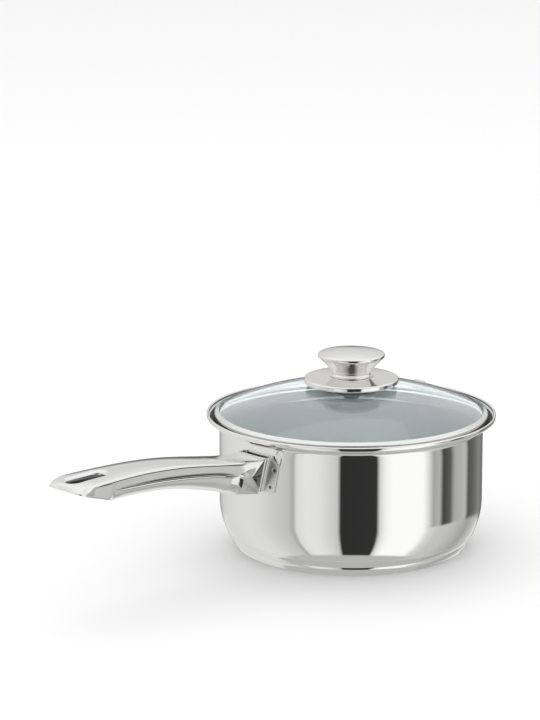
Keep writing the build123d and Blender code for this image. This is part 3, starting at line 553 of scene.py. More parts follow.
# along the handle: distance from the pan's axis, half width of the top, its edge's height, crown,
# half width at the crease, the crease's height, the underside's height, half width of its bulge
stations = np.array([
    (84.0, 11.8, 70.3, 0.3, 9.9, 61.5, 47.4, 6.4),
    (94.0, 11.9, 70.9, 0.8, 10.8, 62.5, 48.6, 7.4),
    (104.0, 12.0, 71.9, 1.1, 11.3, 63.9, 51.2, 7.9),
    (114.0, 12.3, 73.4, 1.35, 11.5, 66.5, 54.6, 8.0),
    (127.0, 12.7, 75.5, 1.6, 11.9, 69.0, 58.2, 8.1),
    (144.0, 13.0, 78.1, 1.8, 12.2, 71.4, 62.2, 8.2),
    (164.0, 13.3, 80.1, 2.0, 12.5, 73.4, 65.2, 8.1),
    (184.0, 13.8, 81.0, 2.0, 12.9, 74.6, 66.2, 8.0),
    (202.0, 14.7, 81.1, 1.8, 13.8, 75.3, 66.6, 8.2),
    (216.0, 15.2, 81.0, 1.5, 14.6, 75.8, 66.8, 8.8),
    (230.0, 15.3, 80.8, 1.2, 15.0, 76.0, 67.0, 9.5),
])


def spline_through(at, values):
    """A natural cubic spline through values at given distances."""
    count = len(at)
    gap = np.diff(at)
    matrix = np.eye(count)
    right = np.zeros(count)
    for i in range(1, count - 1):
        matrix[i, i - 1:i + 2] = gap[i - 1], 2 * (gap[i - 1] + gap[i]), gap[i]
        right[i] = 6 * ((values[i + 1] - values[i]) / gap[i] - (values[i] - values[i - 1]) / gap[i - 1])
    bend = np.linalg.solve(matrix, right)

    def read(u):
        i = np.clip(np.searchsorted(at, u) - 1, 0, count - 2)
        w, p, q = gap[i], at[i + 1] - u, u - at[i]
        cubic = (bend[i] * p**3 + bend[i + 1] * q**3) / (6 * w)
        return cubic + (values[i] / w - bend[i] * w / 6) * p + (values[i + 1] / w - bend[i + 1] * w / 6) * q

    return read


top_half, edge_z, crown, crease_half, crease_z, under_z, bulge_half = (
    spline_through(stations[:, 0], stations[:, k]) for k in range(1, 8)
)
slot_box = [o for o in frame["record"]["physics"]["openings"] if o["name"] == "hanging_slot"][0]["box_m"]
slot_u = -(slot_box[0][0] + slot_box[1][0]) / 2 / mm
slot_half_run = 8.0
slot_r = 5.0
slot_near = slot_u - slot_half_run - slot_r
lip_near, lip_far = 2.6, 1.9
end_start = 212.0         # the top's outline starts to round in here
end_run = 16.6
end_power = 3.0
end_fall = 0.25
foot_start = 213.0        # the lower edge keeps its width to here, so its corners are squarer
foot_power = 6.5
fan_start = 193.0         # where the columns begin to fan out round the slot
ramp_start, ramp_start_z, ramp_rise, ramp_bow = 200.0, 67.4, 0.369, 1.0
ramp_edge = 0.7           # height of the lower edge above the ramp
edge_r = 1.5
side_hollow = 0.17        # how far the sides are pressed in between edge and crease
groove_in, groove_up = 0.4, 0.45
main_columns, end_columns = 100, 56


def smooth_step(a, b, x):
    """0 before a, 1 after b, and smooth between them."""
    t = np.clip((x - a) / (b - a), 0, 1)
    return t * t * (3 - 2 * t)


def ramp_z(u):
    """Height of the handle's sloping underside at its end."""
    return ramp_start_z + (u - ramp_start) * ramp_rise - ramp_bow * smooth_step(206, 226, u)


def rounded_end(start, run, power, half):
    """The near half of the end's outline, from its start round to the tip."""
    turn = np.linspace(0, math.pi / 2, 400)
    u = start + run * np.sin(turn) ** (2 / power)
    v = half(np.minimum(u, start + run)) * np.cos(turn) ** (2 / power)
    v[-1] = 0.0
    return list(zip(u, v))


def lip_width(u):
    """Width of the lip round the slot, which narrows towards the tip."""
    return lip_near + (lip_far - lip_near) * smooth_step(204, 225, u)


def slot_distance(u, v):
    """Distance outside the slot's edge."""
    return np.hypot(np.maximum(np.abs(u - slot_u) - slot_half_run, 0), v) - slot_r


def top_z(u, v):
    """Height of the handle's top, with its crown and the lip drawn down into the slot."""
    end = np.clip((u - end_start) / end_run, 0, 1)
    lift = crown(u) * np.maximum(1 - (v / top_half(u)) ** 2 - end**end_power, 0)
    lip = lip_width(u)
    inside = np.clip(lip - slot_distance(u, v), 0, lip)
    return edge_z(u) - end_fall * end**2 + lift - (lip - np.sqrt(lip**2 - inside**2))


# the slot's edge and centre line, the top's outline and the lower edge, from mouth to tip
lip_turn = np.linspace(0, math.pi / 2, 12)
before_slot = slot_near - lip_near * (1 - np.cos(lip_turn[::-1]))
spine_u = np.concatenate([np.linspace(face_u, before_slot[0], main_columns)[:-1], before_slot])
quarter = np.linspace(math.pi, math.pi / 2, 60)
left_end = [(slot_u - slot_half_run + slot_r * math.cos(a), slot_r * math.sin(a)) for a in quarter]
right_end = [(2 * slot_u - u, v) for u, v in reversed(left_end)]
slot_path = spread([*left_end, *right_end], end_columns + 1)
straight_top = [(u, top_half(u)) for u in np.linspace(fan_start, end_start, 30)]
straight_foot = [(u, crease_half(u)) for u in np.linspace(fan_start, foot_start, 40)]
top_end = rounded_end(end_start, end_run, end_power, top_half)
top_path = spread([*straight_top, *top_end[1:]], end_columns + 1)
foot_end = rounded_end(foot_start, tip_u - foot_start, foot_power, crease_half)
foot_path = spread([*straight_foot, *foot_end[1:]], end_columns + 1)
skew = smooth_step(150, slot_near, spine_u) * (slot_near - fan_start)
spine = np.vstack([np.column_stack([spine_u, 0 * spine_u]), slot_path[1:]])
edge = np.vstack([np.column_stack([spine_u - skew, top_half(spine_u - skew)]), top_path[1:]])
foot = np.vstack([np.column_stack([spine_u - skew, crease_half(spine_u - skew)]), foot_path[1:]])

# the crease's height, turned down to the ramp near the end, and the facets beside the mouth: the
# sides pinch in from the corner to the mouth's edge, and a flat slopes up and down to that corner
flat_end = 104.0
corner_near, corner_half, corner_z = 94.75, 11.9, 61.25
pinch_low, pinch_mid = 0.88, 0.48       # shares of the mouth's edge, from its top
mouth_top = np.array([face_u, 11.8, 70.3])
mouth_foot = np.array([face_u, 6.3, 49.2])
pinch_foot = mouth_top + (mouth_foot - mouth_top) * pinch_low
pinch_middle = mouth_top + (mouth_foot - mouth_top) * pinch_mid
flat_tip = np.array([flat_end, crease_half(flat_end), crease_z(flat_end)])
along = foot[:, 0]
corner_u = along[np.argmin(np.abs(along - corner_near))]
corner_point = np.array([corner_u, corner_half, corner_z])


def between(a, b):
    """Points on the line through two others, one for each column along the handle."""
    share = ((along - a[0]) / (b[0] - a[0]))[:, None]
    return a + (b - a) * share


turn_down = smooth_step(202, 208, along)
foot_z = crease_z(along) * (1 - turn_down) + (ramp_z(along) + ramp_edge) * turn_down
groove = smooth_step(flat_end, 112, along) * (1 - smooth_step(194, 204, along))
crease = np.column_stack([along, foot[:, 1], foot_z])
seam_free = crease - np.column_stack([0 * groove, groove_in * groove, groove_up * groove])
beside_flat = (along < flat_end)[:, None]
in_pinch = (along < corner_u)[:, None]
seam_line = np.where(in_pinch, between(pinch_middle, corner_point), between(corner_point, flat_tip))
seam_line = np.where(beside_flat, seam_line, seam_free)
upper_fold = np.where(in_pinch, between(mouth_top, corner_point), seam_line)
lower_fold = np.where(in_pinch, between(pinch_foot, corner_point), seam_line)
ridge_line = np.where(beside_flat, between(mouth_top, flat_tip), crease)
low_ridge_line = np.where(beside_flat, between(mouth_foot, flat_tip), seam_free)

across = edge - spine
width = np.linalg.norm(across, axis=1)
lip_here = np.minimum(lip_width(spine[:, 0]), 0.55 * width)
upper_rows = []
for turn in np.linspace(0, math.pi / 2, 9):
    plan = spine + across * ((1 - math.cos(turn)) * lip_here / width)[:, None]
    upper_rows.append(np.column_stack([plan, top_z(plan[:, 0], plan[:, 1])]))
start = lip_here / width
for share in np.linspace(0, 1, 15)[1:]:
    plan = spine + across * (start + (1 - edge_r / width - start) * share)[:, None]
    upper_rows.append(np.column_stack([plan, top_z(plan[:, 0], plan[:, 1])]))
corner = np.column_stack([edge, top_z(edge[:, 0], edge[:, 1])])
side = ridge_line - corner
side_length = np.maximum(np.linalg.norm(side, axis=1), 0.001)[:, None]
inner = upper_rows[-1]
outer = corner + side * np.minimum(edge_r / side_length, 0.5)
for t in np.linspace(0, 1, 7)[1:]:
    upper_rows.append((1 - t) ** 2 * inner + 2 * t * (1 - t) * corner + t * t * outer)
hollowed = smooth_step(flat_end - 8, 120, along) * (1 - smooth_step(196, 210, along))
for t in np.linspace(0, 1, 11)[1:]:
    belly = -side_hollow * math.sin(math.pi * t) * hollowed
    upper_rows.append(outer + (ridge_line - outer) * t + np.column_stack([0 * belly, belly, 0 * belly]))
for t in np.linspace(0, 1, 5)[1:]:
    upper_rows.append(ridge_line + (upper_fold - ridge_line) * t)
for t in np.linspace(0, 1, 5)[1:]:
    upper_rows.append(upper_fold + (seam_line - upper_fold) * t)
handle_polish = polished_steel("handle polish", (0.84, 0.84, 0.835), 0.05, haze=0.06, waviness=0.2)
upper_shell = skin("handle_top", upper_rows, handle_polish, handle_sheet, sharp_angle=32)
# the upper facet beside the mouth is coloured dark: a painted dark reflection of the flag, not a finish of
# the steel
pinch_painted_reflection = polished_steel("pinch painted reflection", (0.20, 0.21, 0.21), 0.10, haze=0.1)
foot_steel = polished_steel("foot satin", (0.86, 0.86, 0.85), 0.42, haze=0.1)


pinch_inside, foot_inside, foot_run = 6.0, 5.0, 6.0


def pinch_share(centre):
    """How far a face lies from the mouth to the corner, and the foot of the upper facet there."""
    share = (-centre.x - face_u) / (corner_u - face_u)
    return share, pinch_foot[2] + (corner_point[2] - pinch_foot[2]) * share


def in_pinch_facet(centre, normal):
    """A face of the upper facet beside the mouth."""
    share, low = pinch_share(centre)
    high = mouth_top[2] + (corner_point[2] - mouth_top[2]) * share
    return 0 <= share <= 1 and low < centre.z < high and abs(centre.y) > pinch_inside


def in_foot_facet(centre, normal):
    """A face of the lower facet beside the mouth."""
    share, low = pinch_share(centre)
    return -centre.x < corner_u + foot_run and centre.z <= low and abs(centre.y) > foot_inside


def shade_pinch(shell):
    """Give the facets beside the mouth their finishes: the upper one a dark colour, a painted dark
    reflection, the lower one satin.
    """
    refinish(shell, pinch_painted_reflection, in_pinch_facet)
    refinish(shell, foot_steel, in_foot_facet)


shade_pinch(upper_shell)
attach(upper_shell, "pan")
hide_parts("handle_upper_shell")

# the slot's wall, which reaches down to the ramp; its dark colour is partly the unpolished steel and partly
# painted shade of the opening
wall_rows = []
for share in np.linspace(0, 1, 6):
    top = top_z(slot_path[:, 0], slot_path[:, 1])
    low = ramp_z(slot_path[:, 0]) + ramp_edge
    wall_rows.append(np.column_stack([slot_path, top + (low - top) * share]))
dull_shaded_steel = polished_steel("dull pressed steel, painted shade", (0.15, 0.16, 0.16), 0.42, haze=0.2)
slot_wall = skin("slot_wall", wall_rows, dull_shaded_steel, 0.5)
slot_wall.modifiers["Sheet"].offset = 1.0
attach(slot_wall, "pan")

# ------------------------------
# Handle, lower shell. The trough below the crease, of the same sheet, welded along the seam.
# Its underside slopes up at the end, where the hanging slot passes through it.
bead_drop, bead_reach = 1.5, 0.75        # a slim bead stands out just under the seam
shoulder_out, shoulder_drop = 0.93, 0.45
bulge_out = 0.92
ramp_reach = 186.0        # the ramp cuts the underside only beyond here
ramp_round, ramp_sink = 0.25, 0.1
lower_start = seam_line - [0, 0, seam_gap]
lower_ridge_line = np.where(beside_flat, low_ridge_line, lower_start)
lower_rows = []
for t in np.linspace(0, 1, 5):
    lower_rows.append(lower_start + (np.where(beside_flat, lower_fold, lower_start) - lower_start) * t)
for t in np.linspace(0, 1, 6)[1:]:
    lower_rows.append(lower_rows[4] + (lower_ridge_line - lower_rows[4]) * t)
for t in np.linspace(0, 1, 8)[1:]:
    out = bead_reach * math.sin(math.pi * min(t, 0.85)) * groove
    lower_rows.append(lower_ridge_line + np.column_stack([0 * out, out, -bead_drop * t * groove]))
under_bead = lower_rows[-1]
low_z = under_z(along)
half = np.where(beside_flat[:, 0], under_bead[:, 1], crease_half(along))
depth = under_bead[:, 2] - low_z
for t in np.linspace(0, 1, 22)[1:]:
    # a cubic curve from the ridge, past the bulge, to the middle of the underside
    weights = ((1 - t) ** 3, 3 * t * (1 - t) ** 2, 3 * t * t * (1 - t), t**3)
    share = weights[0] + shoulder_out * weights[1] + bulge_out * weights[2] * bulge_half(along) / half
    drop = weights[1] * shoulder_drop + weights[2] + weights[3]
    z = under_bead[:, 2] - depth * drop
    ramp = ramp_z(along)
    cut_z = (z + ramp + np.sqrt((z - ramp) ** 2 + ramp_round)) / 2 - ramp_sink
    z = np.where(along > ramp_reach, cut_z, z)
    main = np.column_stack([along, share * under_bead[:, 1]])
    plan = spine + (foot - spine) * share[:, None]
    fanned = smooth_step(150, 199, along)[:, None]
    plan = main * (1 - fanned) + plan * fanned
    lower_rows.append(np.column_stack([plan, np.minimum(z, under_bead[:, 2])]))
lower_shell = skin("handle_underside", lower_rows, handle_polish, handle_sheet, sharp_angle=32)
shade_pinch(lower_shell)
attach(lower_shell, "pan")
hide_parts("handle_lower_shell")

# ------------------------------
# Lid glass. A dome of tempered glass, 3 mm thick, with a ground round edge. One hole in the
# middle takes the knob's bush, and one near the edge lets steam out.
glass_low, glass_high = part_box("lid_glass")
glass_r = glass_high.x / mm
glass_sheet = 3.0
dome_r = 200.0
hole_r = 5.0
edge_round = 1.1
edge_start = glass_r - edge_round
dome_centre = glass_low.z / mm - math.sqrt((dome_r - glass_sheet) ** 2 - edge_start**2)


def dome_height(r, sphere=dome_r):
    """Height of the dome's outside, or of another sphere about its centre, away from the axis."""
    return dome_centre + math.sqrt(sphere**2 - r * r)


def dome_line(r_from, r_to, sphere, steps):
    """Points on one of the dome's surfaces between two distances from the axis."""
    return [(r, dome_height(r, sphere)) for r in np.linspace(r_from, r_to, steps)]


outside = dome_line(hole_r, edge_start, dome_r, 70)
within = dome_line(edge_start, hole_r, dome_r - glass_sheet, 70)
edge_z_top, edge_z_low = outside[-1][1], within[0][1]
middle = (edge_z_top + edge_z_low) / 2
edge_curve = [
    (edge_start + edge_round * math.cos(a), middle + (edge_z_top - edge_z_low) / 2 * math.sin(a))
    for a in np.linspace(math.pi / 2, -math.pi / 2, 13)[1:-1]
]
clear_glass, tree, shader = blank_material("lid glass")
shader.inputs["Base Color"].default_value = (0.90, 0.95, 0.955, 1.0)
shader.inputs["Transmission Weight"].default_value = 1.0
shader.inputs["IOR"].default_value = 1.47
marks = wired(tree, "ShaderNodeGroup", {"node_tree": polish_marks}, Roughness=0.0, Haze=0.03, Waviness=0.15)
tree.links.new(marks.outputs["Roughness"], shader.inputs["Roughness"])
dome = spun("dome", [*outside, *edge_curve, *within], clear_glass, segments=192)
vent_r = 60.5
vent_tilt = math.asin(vent_r / dome_r)
vent_place = Matrix.Translation((vent_r * mm, 0, dome_height(vent_r) * mm))
vent_place = vent_place @ Matrix.Rotation(vent_tilt, 4, "Y")
vent_hole_r = 3.0
drill_section = [(0, -8), (vent_hole_r, -8), (vent_hole_r, 8), (0, 8)]
drill = spun("drill", drill_section, clear_glass, 48, place=vent_place)


def cut_away(piece, cutter, crossing=False):
    """Cut one object's shape out of a piece; crossing where the cutter's own parts overlap."""
    cut = piece.modifiers.new("Cut", "BOOLEAN")
    cut.object = cutter
    cut.solver = "EXACT"
    cut.use_self = crossing
    piece.data = settled(piece)
    bpy.data.objects.remove(cutter)


cut_away(dome, drill)
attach(dome, "lid")
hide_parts("lid_glass")

# ------------------------------
# Rim band and seal. A thin polished hoop is rolled round the edge of the glass over a bead of
# silicone; its skirt hangs inside the pan and keeps the lid in place.
band_low, band_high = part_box("lid_rim_band")
band_inset = 0.018        # a hair inside the CAD band
band_r = band_high.x / mm - band_inset
band_sheet = 0.4
skirt_gap = 0.6
skirt_height = 7.6
skirt_r = wall_r - vessel_sheet - skirt_gap
skirt_foot = band_low.z / mm
band_under = skirt_foot + skirt_height
channel_floor = band_under + band_sheet
band_corner = 0.8
lip_reach = 2.8
lip_r = band_r - lip_reach
lip_outer = band_r - band_sheet - band_corner
lip_clearance = 0.1
lip_under = [(r, dome_height(r) + lip_clearance) for r in np.linspace(lip_outer, lip_r, 8)]
lip_over = [(r, z + band_sheet) for r, z in reversed(lip_under)]
hoop_top = lip_under[0][1] - band_corner
hoop_rise = lip_over[-1][1] - hoop_top
hoop_corner = [
    (lip_outer + (band_corner + band_sheet) * math.sin(a), hoop_top + hoop_rise * math.cos(a))
    for a in np.linspace(0, math.pi / 2, 9)[1:]
]
band_section = [
    *lip_over,
    *hoop_corner,
    *arc((band_r - band_corner, band_under + band_corner), band_corner, 0, -90, 8),
    *arc((skirt_r + band_corner, band_under - band_corner), band_corner, 90, 180, 8),
    *straight((skirt_r, band_under - band_corner), (skirt_r, skirt_foot), 4),
    *arc((skirt_r - band_sheet / 2, skirt_foot + band_sheet / 2), band_sheet / 2, 0, -180, 6),
    (skirt_r - band_sheet, band_under - band_corner),
    *arc((skirt_r + band_corner, band_under - band_corner), band_corner + band_sheet, 180, 90, 8),
    (band_r - band_sheet - 0.3, channel_floor),
    (band_r - band_sheet, channel_floor + 0.3),
    (band_r - band_sheet, hoop_top),
    *lip_under,
]
band_polish = polished_steel("band polish", (0.84, 0.84, 0.835), 0.05)
band = spun("rim_band", band_section, band_polish, segments=256)
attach(band, "lid")
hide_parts("lid_rim_band")

silicone, tree, shader = blank_material("grey silicone")
mottle = wired(tree, "ShaderNodeTexNoise", Vector=object_place(tree), Scale=700.0)
deep_grey, light_grey = (0.30, 0.31, 0.31, 1), (0.38, 0.39, 0.39, 1)
colours = {"data_type": "RGBA"}
greyed = wired(tree, "ShaderNodeMix", colours, _0=mottle.outputs[0], _6=deep_grey, _7=light_grey)
soft = wired(tree, "ShaderNodeMapRange", Value=mottle.outputs[0], To_Min=0.45, To_Max=0.6)
tree.links.new(greyed.outputs[2], shader.inputs["Base Color"])
tree.links.new(soft.outputs[0], shader.inputs["Roughness"])
shader.inputs["Subsurface Weight"].default_value = 0.1
seal_low, seal_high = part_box("rim_seal")
seal_gap = 0.05
seal_out = band_r - band_sheet - seal_gap
seal_in = glass_r + seal_gap
seal_foot, seal_top = seal_low.z / mm, seal_high.z / mm
seal_section = [(seal_in, seal_foot), (seal_out, seal_foot), (seal_out, seal_top - 0.8)]
seal_section += [((seal_in + seal_out) / 2, seal_top - 0.25), (seal_in, seal_top)]
seal = spun("rim_bead", seal_section, silicone)
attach(seal, "lid")
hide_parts("rim_seal")

# ------------------------------
# Steam vent. A steel eyelet, pressed through the glass and rolled over a washer below it.
vent_steel = polished_steel("vent steel", (0.80, 0.80, 0.79), 0.16, haze=0.1)
bore, flange, gap = 2.0, 3.7, 0.1       # heights count from the glass, along its normal
eyelet_section = [
    (bore, 0.6), (bore, -4.3), (bore + 0.15, -4.45), (flange - 0.3, -4.45), (flange, -4.1),
    (flange - 0.1, -3.72), (vent_hole_r - gap, -3.7), (vent_hole_r - gap, gap), (flange - 0.05, gap),
    (flange, gap + 0.1), (flange - 0.15, gap + 0.45), (flange - 0.5, gap + 0.85), (flange - 0.85, gap + 1.0),
    (bore + 0.4, gap + 0.95), (bore + 0.1, gap + 0.75),
]
eyelet = spun("vent_grommet", eyelet_section, vent_steel, segments=64, place=vent_place)
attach(eyelet, "lid")
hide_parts("vent_eyelet")
washer_r, washer_top, washer_foot, washer_edge = 4.6, -3.1, -3.6, 0.1
washer_section = [
    (vent_hole_r, washer_top), (washer_r - washer_edge, washer_top), (washer_r, washer_top - washer_edge),
    (washer_r, washer_foot + washer_edge), (washer_r - washer_edge, washer_foot), (vent_hole_r, washer_foot),
]
washer = spun("vent_backing", washer_section, vent_steel, segments=64, place=vent_place)
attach(washer, "lid")
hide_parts("vent_washer")

# ------------------------------
# Knob plate. A dished steel disc with a turned-down edge, clamped between the knob and the
# glass; its top is spun to a fine satin, nearly as bright as its polished edge.
plate_low, plate_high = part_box("knob_plate")
plate_r = plate_high.x / mm
plate_foot = plate_low.z / mm
hub_top = plate_high.z / mm
plate_dish = 1.0
plate_turn = 1.1
plate_rim = hub_top - plate_dish
plate_sheet = 0.8
gasket_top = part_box("upper_gasket")[1].z / mm
pad_r = 12.0
bush_hole = 4.1
knob_satin = satin_steel("knob satin", (0.84, 0.84, 0.835), 0.24, ring_width=0.45, contrast=0.04)
plate_satin = satin_steel("plate satin", (0.82, 0.81, 0.80), 0.10, ring_width=0.45, contrast=0.04)
knob_polish = polished_steel("knob polish", (0.84, 0.83, 0.82), 0.06)
plate_section = [
    (bush_hole, gasket_top), (pad_r, gasket_top), (pad_r + plate_sheet, hub_top - plate_sheet),
    (plate_r - 2.2, plate_rim - plate_sheet - 0.1), (plate_r - plate_sheet, plate_rim - 1.6),
    (plate_r - plate_sheet, plate_foot + 0.2), (plate_r - plate_sheet / 2, plate_foot),
    (plate_r - 0.1, plate_foot + 0.15), (plate_r, plate_foot + 0.4),
    *straight((plate_r, plate_foot + 0.4), (plate_r, plate_rim - plate_turn), 3),
    *arc((plate_r - plate_turn, plate_rim - plate_turn), plate_turn, 0, 80, 8),
    *bowed((plate_r - 1.6, plate_rim + 0.04), (pad_r + 1.6, hub_top), 0, 10),
    (pad_r, hub_top - 0.1), (pad_r - plate_sheet, gasket_top + plate_sheet),
    (bush_hole, gasket_top + plate_sheet),
]
plate = spun("plate", plate_section, knob_polish)
level = 0.93              # the least upward part of a satin face's normal
refinish(plate, plate_satin, lambda centre, normal: normal.z > level and centre.z > gasket_top)
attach(plate, "lid")
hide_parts("knob_plate")

# ------------------------------
# Knob stem and cap. The stem is a hollow turned cone on a foot ring, polished; the cap is a
# spun crown with a rolled edge, satin on top. They are pressed together at the joint.
stem_foot_r, stem_foot_height = 13.1, 0.55
waist_half, waist_height = 11.3, 1.7
stem_top_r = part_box("knob_stem")[1].x / mm
stem_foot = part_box("knob_stem")[0].z / mm
joint_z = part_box("knob_stem")[1].z / mm
stem_sheet = 1.0
waist_top = hub_top + waist_height
flare = 0.14              # share of the cone's opening that comes late
stem_lining = stem_sheet * 1.3


def flared(inset, lift, steps=16):
    """The cone's side from its waist up to its mouth: nearly straight, opening faster at the top."""
    foot_r, foot_z = waist_half - inset, waist_top + lift
    opening, height = stem_top_r - waist_half, joint_z - foot_z
    shares = np.linspace(0, 1, steps)
    return [(foot_r + opening * ((1 - flare) * t + flare * t**3), foot_z + height * t) for t in shares]


stem_section = [
    (bush_hole, stem_foot), (stem_foot_r - 0.2, stem_foot), (stem_foot_r, stem_foot + 0.2),
    (stem_foot_r, stem_foot + stem_foot_height - 0.25),
    *arc((stem_foot_r - 0.25, stem_foot + stem_foot_height - 0.25), 0.25, 0, 90, 4)[1:],
    (waist_half + 0.5, stem_foot + stem_foot_height),
    *flared(0, 0), *reversed(flared(stem_lining, stem_sheet)),
    (waist_half - stem_lining, stem_foot + stem_sheet), (bush_hole, stem_foot + stem_sheet),
]
stem = spun("stem", stem_section, knob_polish, sharp_angle=30)
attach(stem, "lid")
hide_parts("knob_stem")

cap_r = 20.2
cap_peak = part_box("knob_cap")[1].z / mm
cap_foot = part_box("knob_cap")[0].z / mm
crown_rise, edge_bulge = 2.3, 0.7
shoulder = cap_peak - crown_rise
shoulder_r = cap_r - edge_bulge
crown_r = (shoulder_r**2 + (cap_peak - shoulder) ** 2) / (2 * (cap_peak - shoulder))
cap_thickness = 0.8


def crown_line(r, down):
    """A point on the cap's crown, or below it by its thickness."""
    return (r, cap_peak - crown_r + math.sqrt(crown_r**2 - r * r) - down)


edge_mid, edge_half = (cap_foot + shoulder) / 2, (shoulder - 0.15 - cap_foot) / 2
cap_edge = [
    (shoulder_r + (cap_r - shoulder_r) * math.cos(a), edge_mid + edge_half * math.sin(a))
    for a in np.linspace(-math.pi / 2, math.pi / 2, 15)
]
cap_section = [
    (stem_top_r - 1.0, cap_foot), *cap_edge,
    *[crown_line(r, 0) for r in np.linspace(shoulder_r - 0.35, 0.0, 26)],
    *[crown_line(r, cap_thickness) for r in np.linspace(0.0, shoulder_r - cap_thickness, 20)],
    (shoulder_r - cap_thickness, cap_foot + cap_thickness), (stem_top_r - 1.0, cap_foot + cap_thickness),
]
cap = spun("cap", cap_section, knob_polish, sharp_angle=30)


def is_crown(centre, normal):
    """A face of the cap's crown, inside its polished edge."""
    return normal.z > 0.9 and centre.xy.length < shoulder_r - 0.4


refinish(cap, knob_satin, is_crown)
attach(cap, "lid")
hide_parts("knob_cap")

# ------------------------------
# Knob fixings. Silicone washers above and below the glass, a threaded bush in the stem, and
# from below a stepped washer, a spring washer and a screw with a cross recess.
upper_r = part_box("upper_gasket")[1].x / mm
lower_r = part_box("lower_gasket")[1].x / mm
lower_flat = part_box("lower_gasket")[0].z / mm
gasket_hole = 3.05
upper_section = [(r, dome_height(r) + 0.05) for r in np.linspace(bush_hole, upper_r, 12)]
upper_section += [(upper_r, gasket_top - 0.2), (upper_r - 0.2, gasket_top), (bush_hole, gasket_top)]
lower_face = dome_line(gasket_hole, lower_r, dome_r - glass_sheet, 12)
lower_section = [(r, z - 0.05) for r, z in lower_face]
lower_section += [(lower_r, lower_flat + 0.2), (lower_r - 0.2, lower_flat), (gasket_hole, lower_flat)]
gaskets = [("top_gasket", "upper_gasket", upper_section), ("under_gasket", "lower_gasket", lower_section)]
for name, node, section in gaskets:
    gasket = spun(name, section, silicone, segments=96)
    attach(gasket, "lid")
    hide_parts(node)

fixing_steel = satin_steel("fixing steel", (0.34, 0.345, 0.345), 0.34, ring_width=0.5, contrast=0.15)
cup_low, cup_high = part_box("under_washer")
cup_r, cup_top, cup_foot = cup_high.x / mm, cup_high.z / mm, cup_low.z / mm
cup_sheet, step_r, screw_hole = 0.8, 11.0, 2.75
cup_section = [
    (cup_r - 0.15, cup_top), (step_r, cup_top), (step_r - cup_sheet, cup_foot + cup_sheet + 0.15),
    (step_r - cup_sheet - 0.3, cup_foot + cup_sheet), (screw_hole, cup_foot + cup_sheet),
    (screw_hole, cup_foot), (step_r - 0.2, cup_foot), (step_r + 0.1, cup_foot + 0.15),
    (step_r + cup_sheet, cup_top - cup_sheet), (cup_r - 0.2, cup_top - cup_sheet),
    *arc((cup_r - 0.3, cup_top - 0.4), 0.3, -60, 60, 5),
]
cup = spun("stepped_washer", cup_section, fixing_steel, segments=128)
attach(cup, "lid")
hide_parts("under_washer")

bush_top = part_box("threaded_bush")[1].z / mm
bush_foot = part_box("threaded_bush")[0].z / mm
bush_bore, bush_r, collar_r, collar_height, bush_edge = 2.5, 4.0, 7.0, 2.2, 0.3
collar_foot = bush_top - collar_height
bush_section = [
    (bush_bore, bush_foot), (bush_r, bush_foot), (bush_r, collar_foot), (collar_r, collar_foot),
    (collar_r, bush_top - bush_edge), (collar_r - bush_edge, bush_top), (bush_bore + bush_edge, bush_top),
    (bush_bore, bush_top - bush_edge),
]
bush = spun("nut", bush_section, fixing_steel, segments=64)
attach(bush, "lid")
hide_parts("threaded_bush")

# the spring washer is one turn of square wire, its ends a little apart in height
ring_low, ring_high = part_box("lock_washer")
ring_r = ring_high.y / mm
wire_height = 0.85
slit = math.asin(0.6 / ring_r)
wire_rise = 0.15
turns = np.linspace(slit, math.tau - slit, 60)
wire_rows = []
for r, high in ((screw_hole, 0), (ring_r, 0), (ring_r, 1), (screw_hole, 1), (screw_hole, 0)):
    foot_z = ring_low.z / mm + high * wire_height
    wire_rows.append([(r * math.cos(a), r * math.sin(a), foot_z + wire_rise * a / math.tau) for a in turns])
shape = bmesh.new()
lattice(shape, wire_rows)
bmesh.ops.remove_doubles(shape, verts=shape.verts, dist=0.001 * mm)
bmesh.ops.holes_fill(shape, edges=shape.edges, sides=4)
bmesh.ops.recalc_face_normals(shape, faces=shape.faces)
spring = placed("spring_washer", meshed("spring_washer", shape))
spring.data.materials.append(fixing_steel)
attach(spring, "lid")
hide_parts("lock_washer")

screw_low, screw_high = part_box("knob_screw")
head_foot, screw_tip = screw_low.z / mm, screw_high.z / mm
head_r, head_height, shank_r = 4.6, 2.6, 2.45
thread_pitch, thread_depth = 0.8, 0.25
recess_width, recess_depth = 0.9, 1.8
screw_section = [(0.0, head_foot), *arc((head_r - 1.0, head_foot + 1.0), 1.0, -90, 0, 8)]
head_top = head_foot + head_height
screw_section += [(head_r, head_top - 0.1), (head_r - 0.1, head_top), (shank_r, head_top)]
thread_start = head_top + 1.2
for i in range(int((screw_tip - 0.6 - thread_start) / thread_pitch)):
    low = thread_start + i * thread_pitch
    screw_section += [(shank_r - thread_depth, low), (shank_r - 0.02, low + thread_pitch / 2)]
screw_section += [(shank_r - 0.5, screw_tip - 0.1), (shank_r - 0.6, screw_tip), (0.0, screw_tip)]
screw = spun("screw", screw_section, fixing_steel, segments=64, sharp_angle=50)
recess = bmesh.new()
for turn in (0, math.pi / 2):
    place = Matrix.Translation((0, 0, (head_foot + 0.5) * mm)) @ Matrix.Rotation(turn, 4, "Z")
    size = Matrix.Diagonal((head_r * mm, recess_width * mm, recess_depth * mm, 1))
    bmesh.ops.create_cube(recess, size=1.0, matrix=place @ size)
cut_away(screw, placed("recess", meshed("recess", recess)), crossing=True)
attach(screw, "lid")
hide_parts("knob_screw")

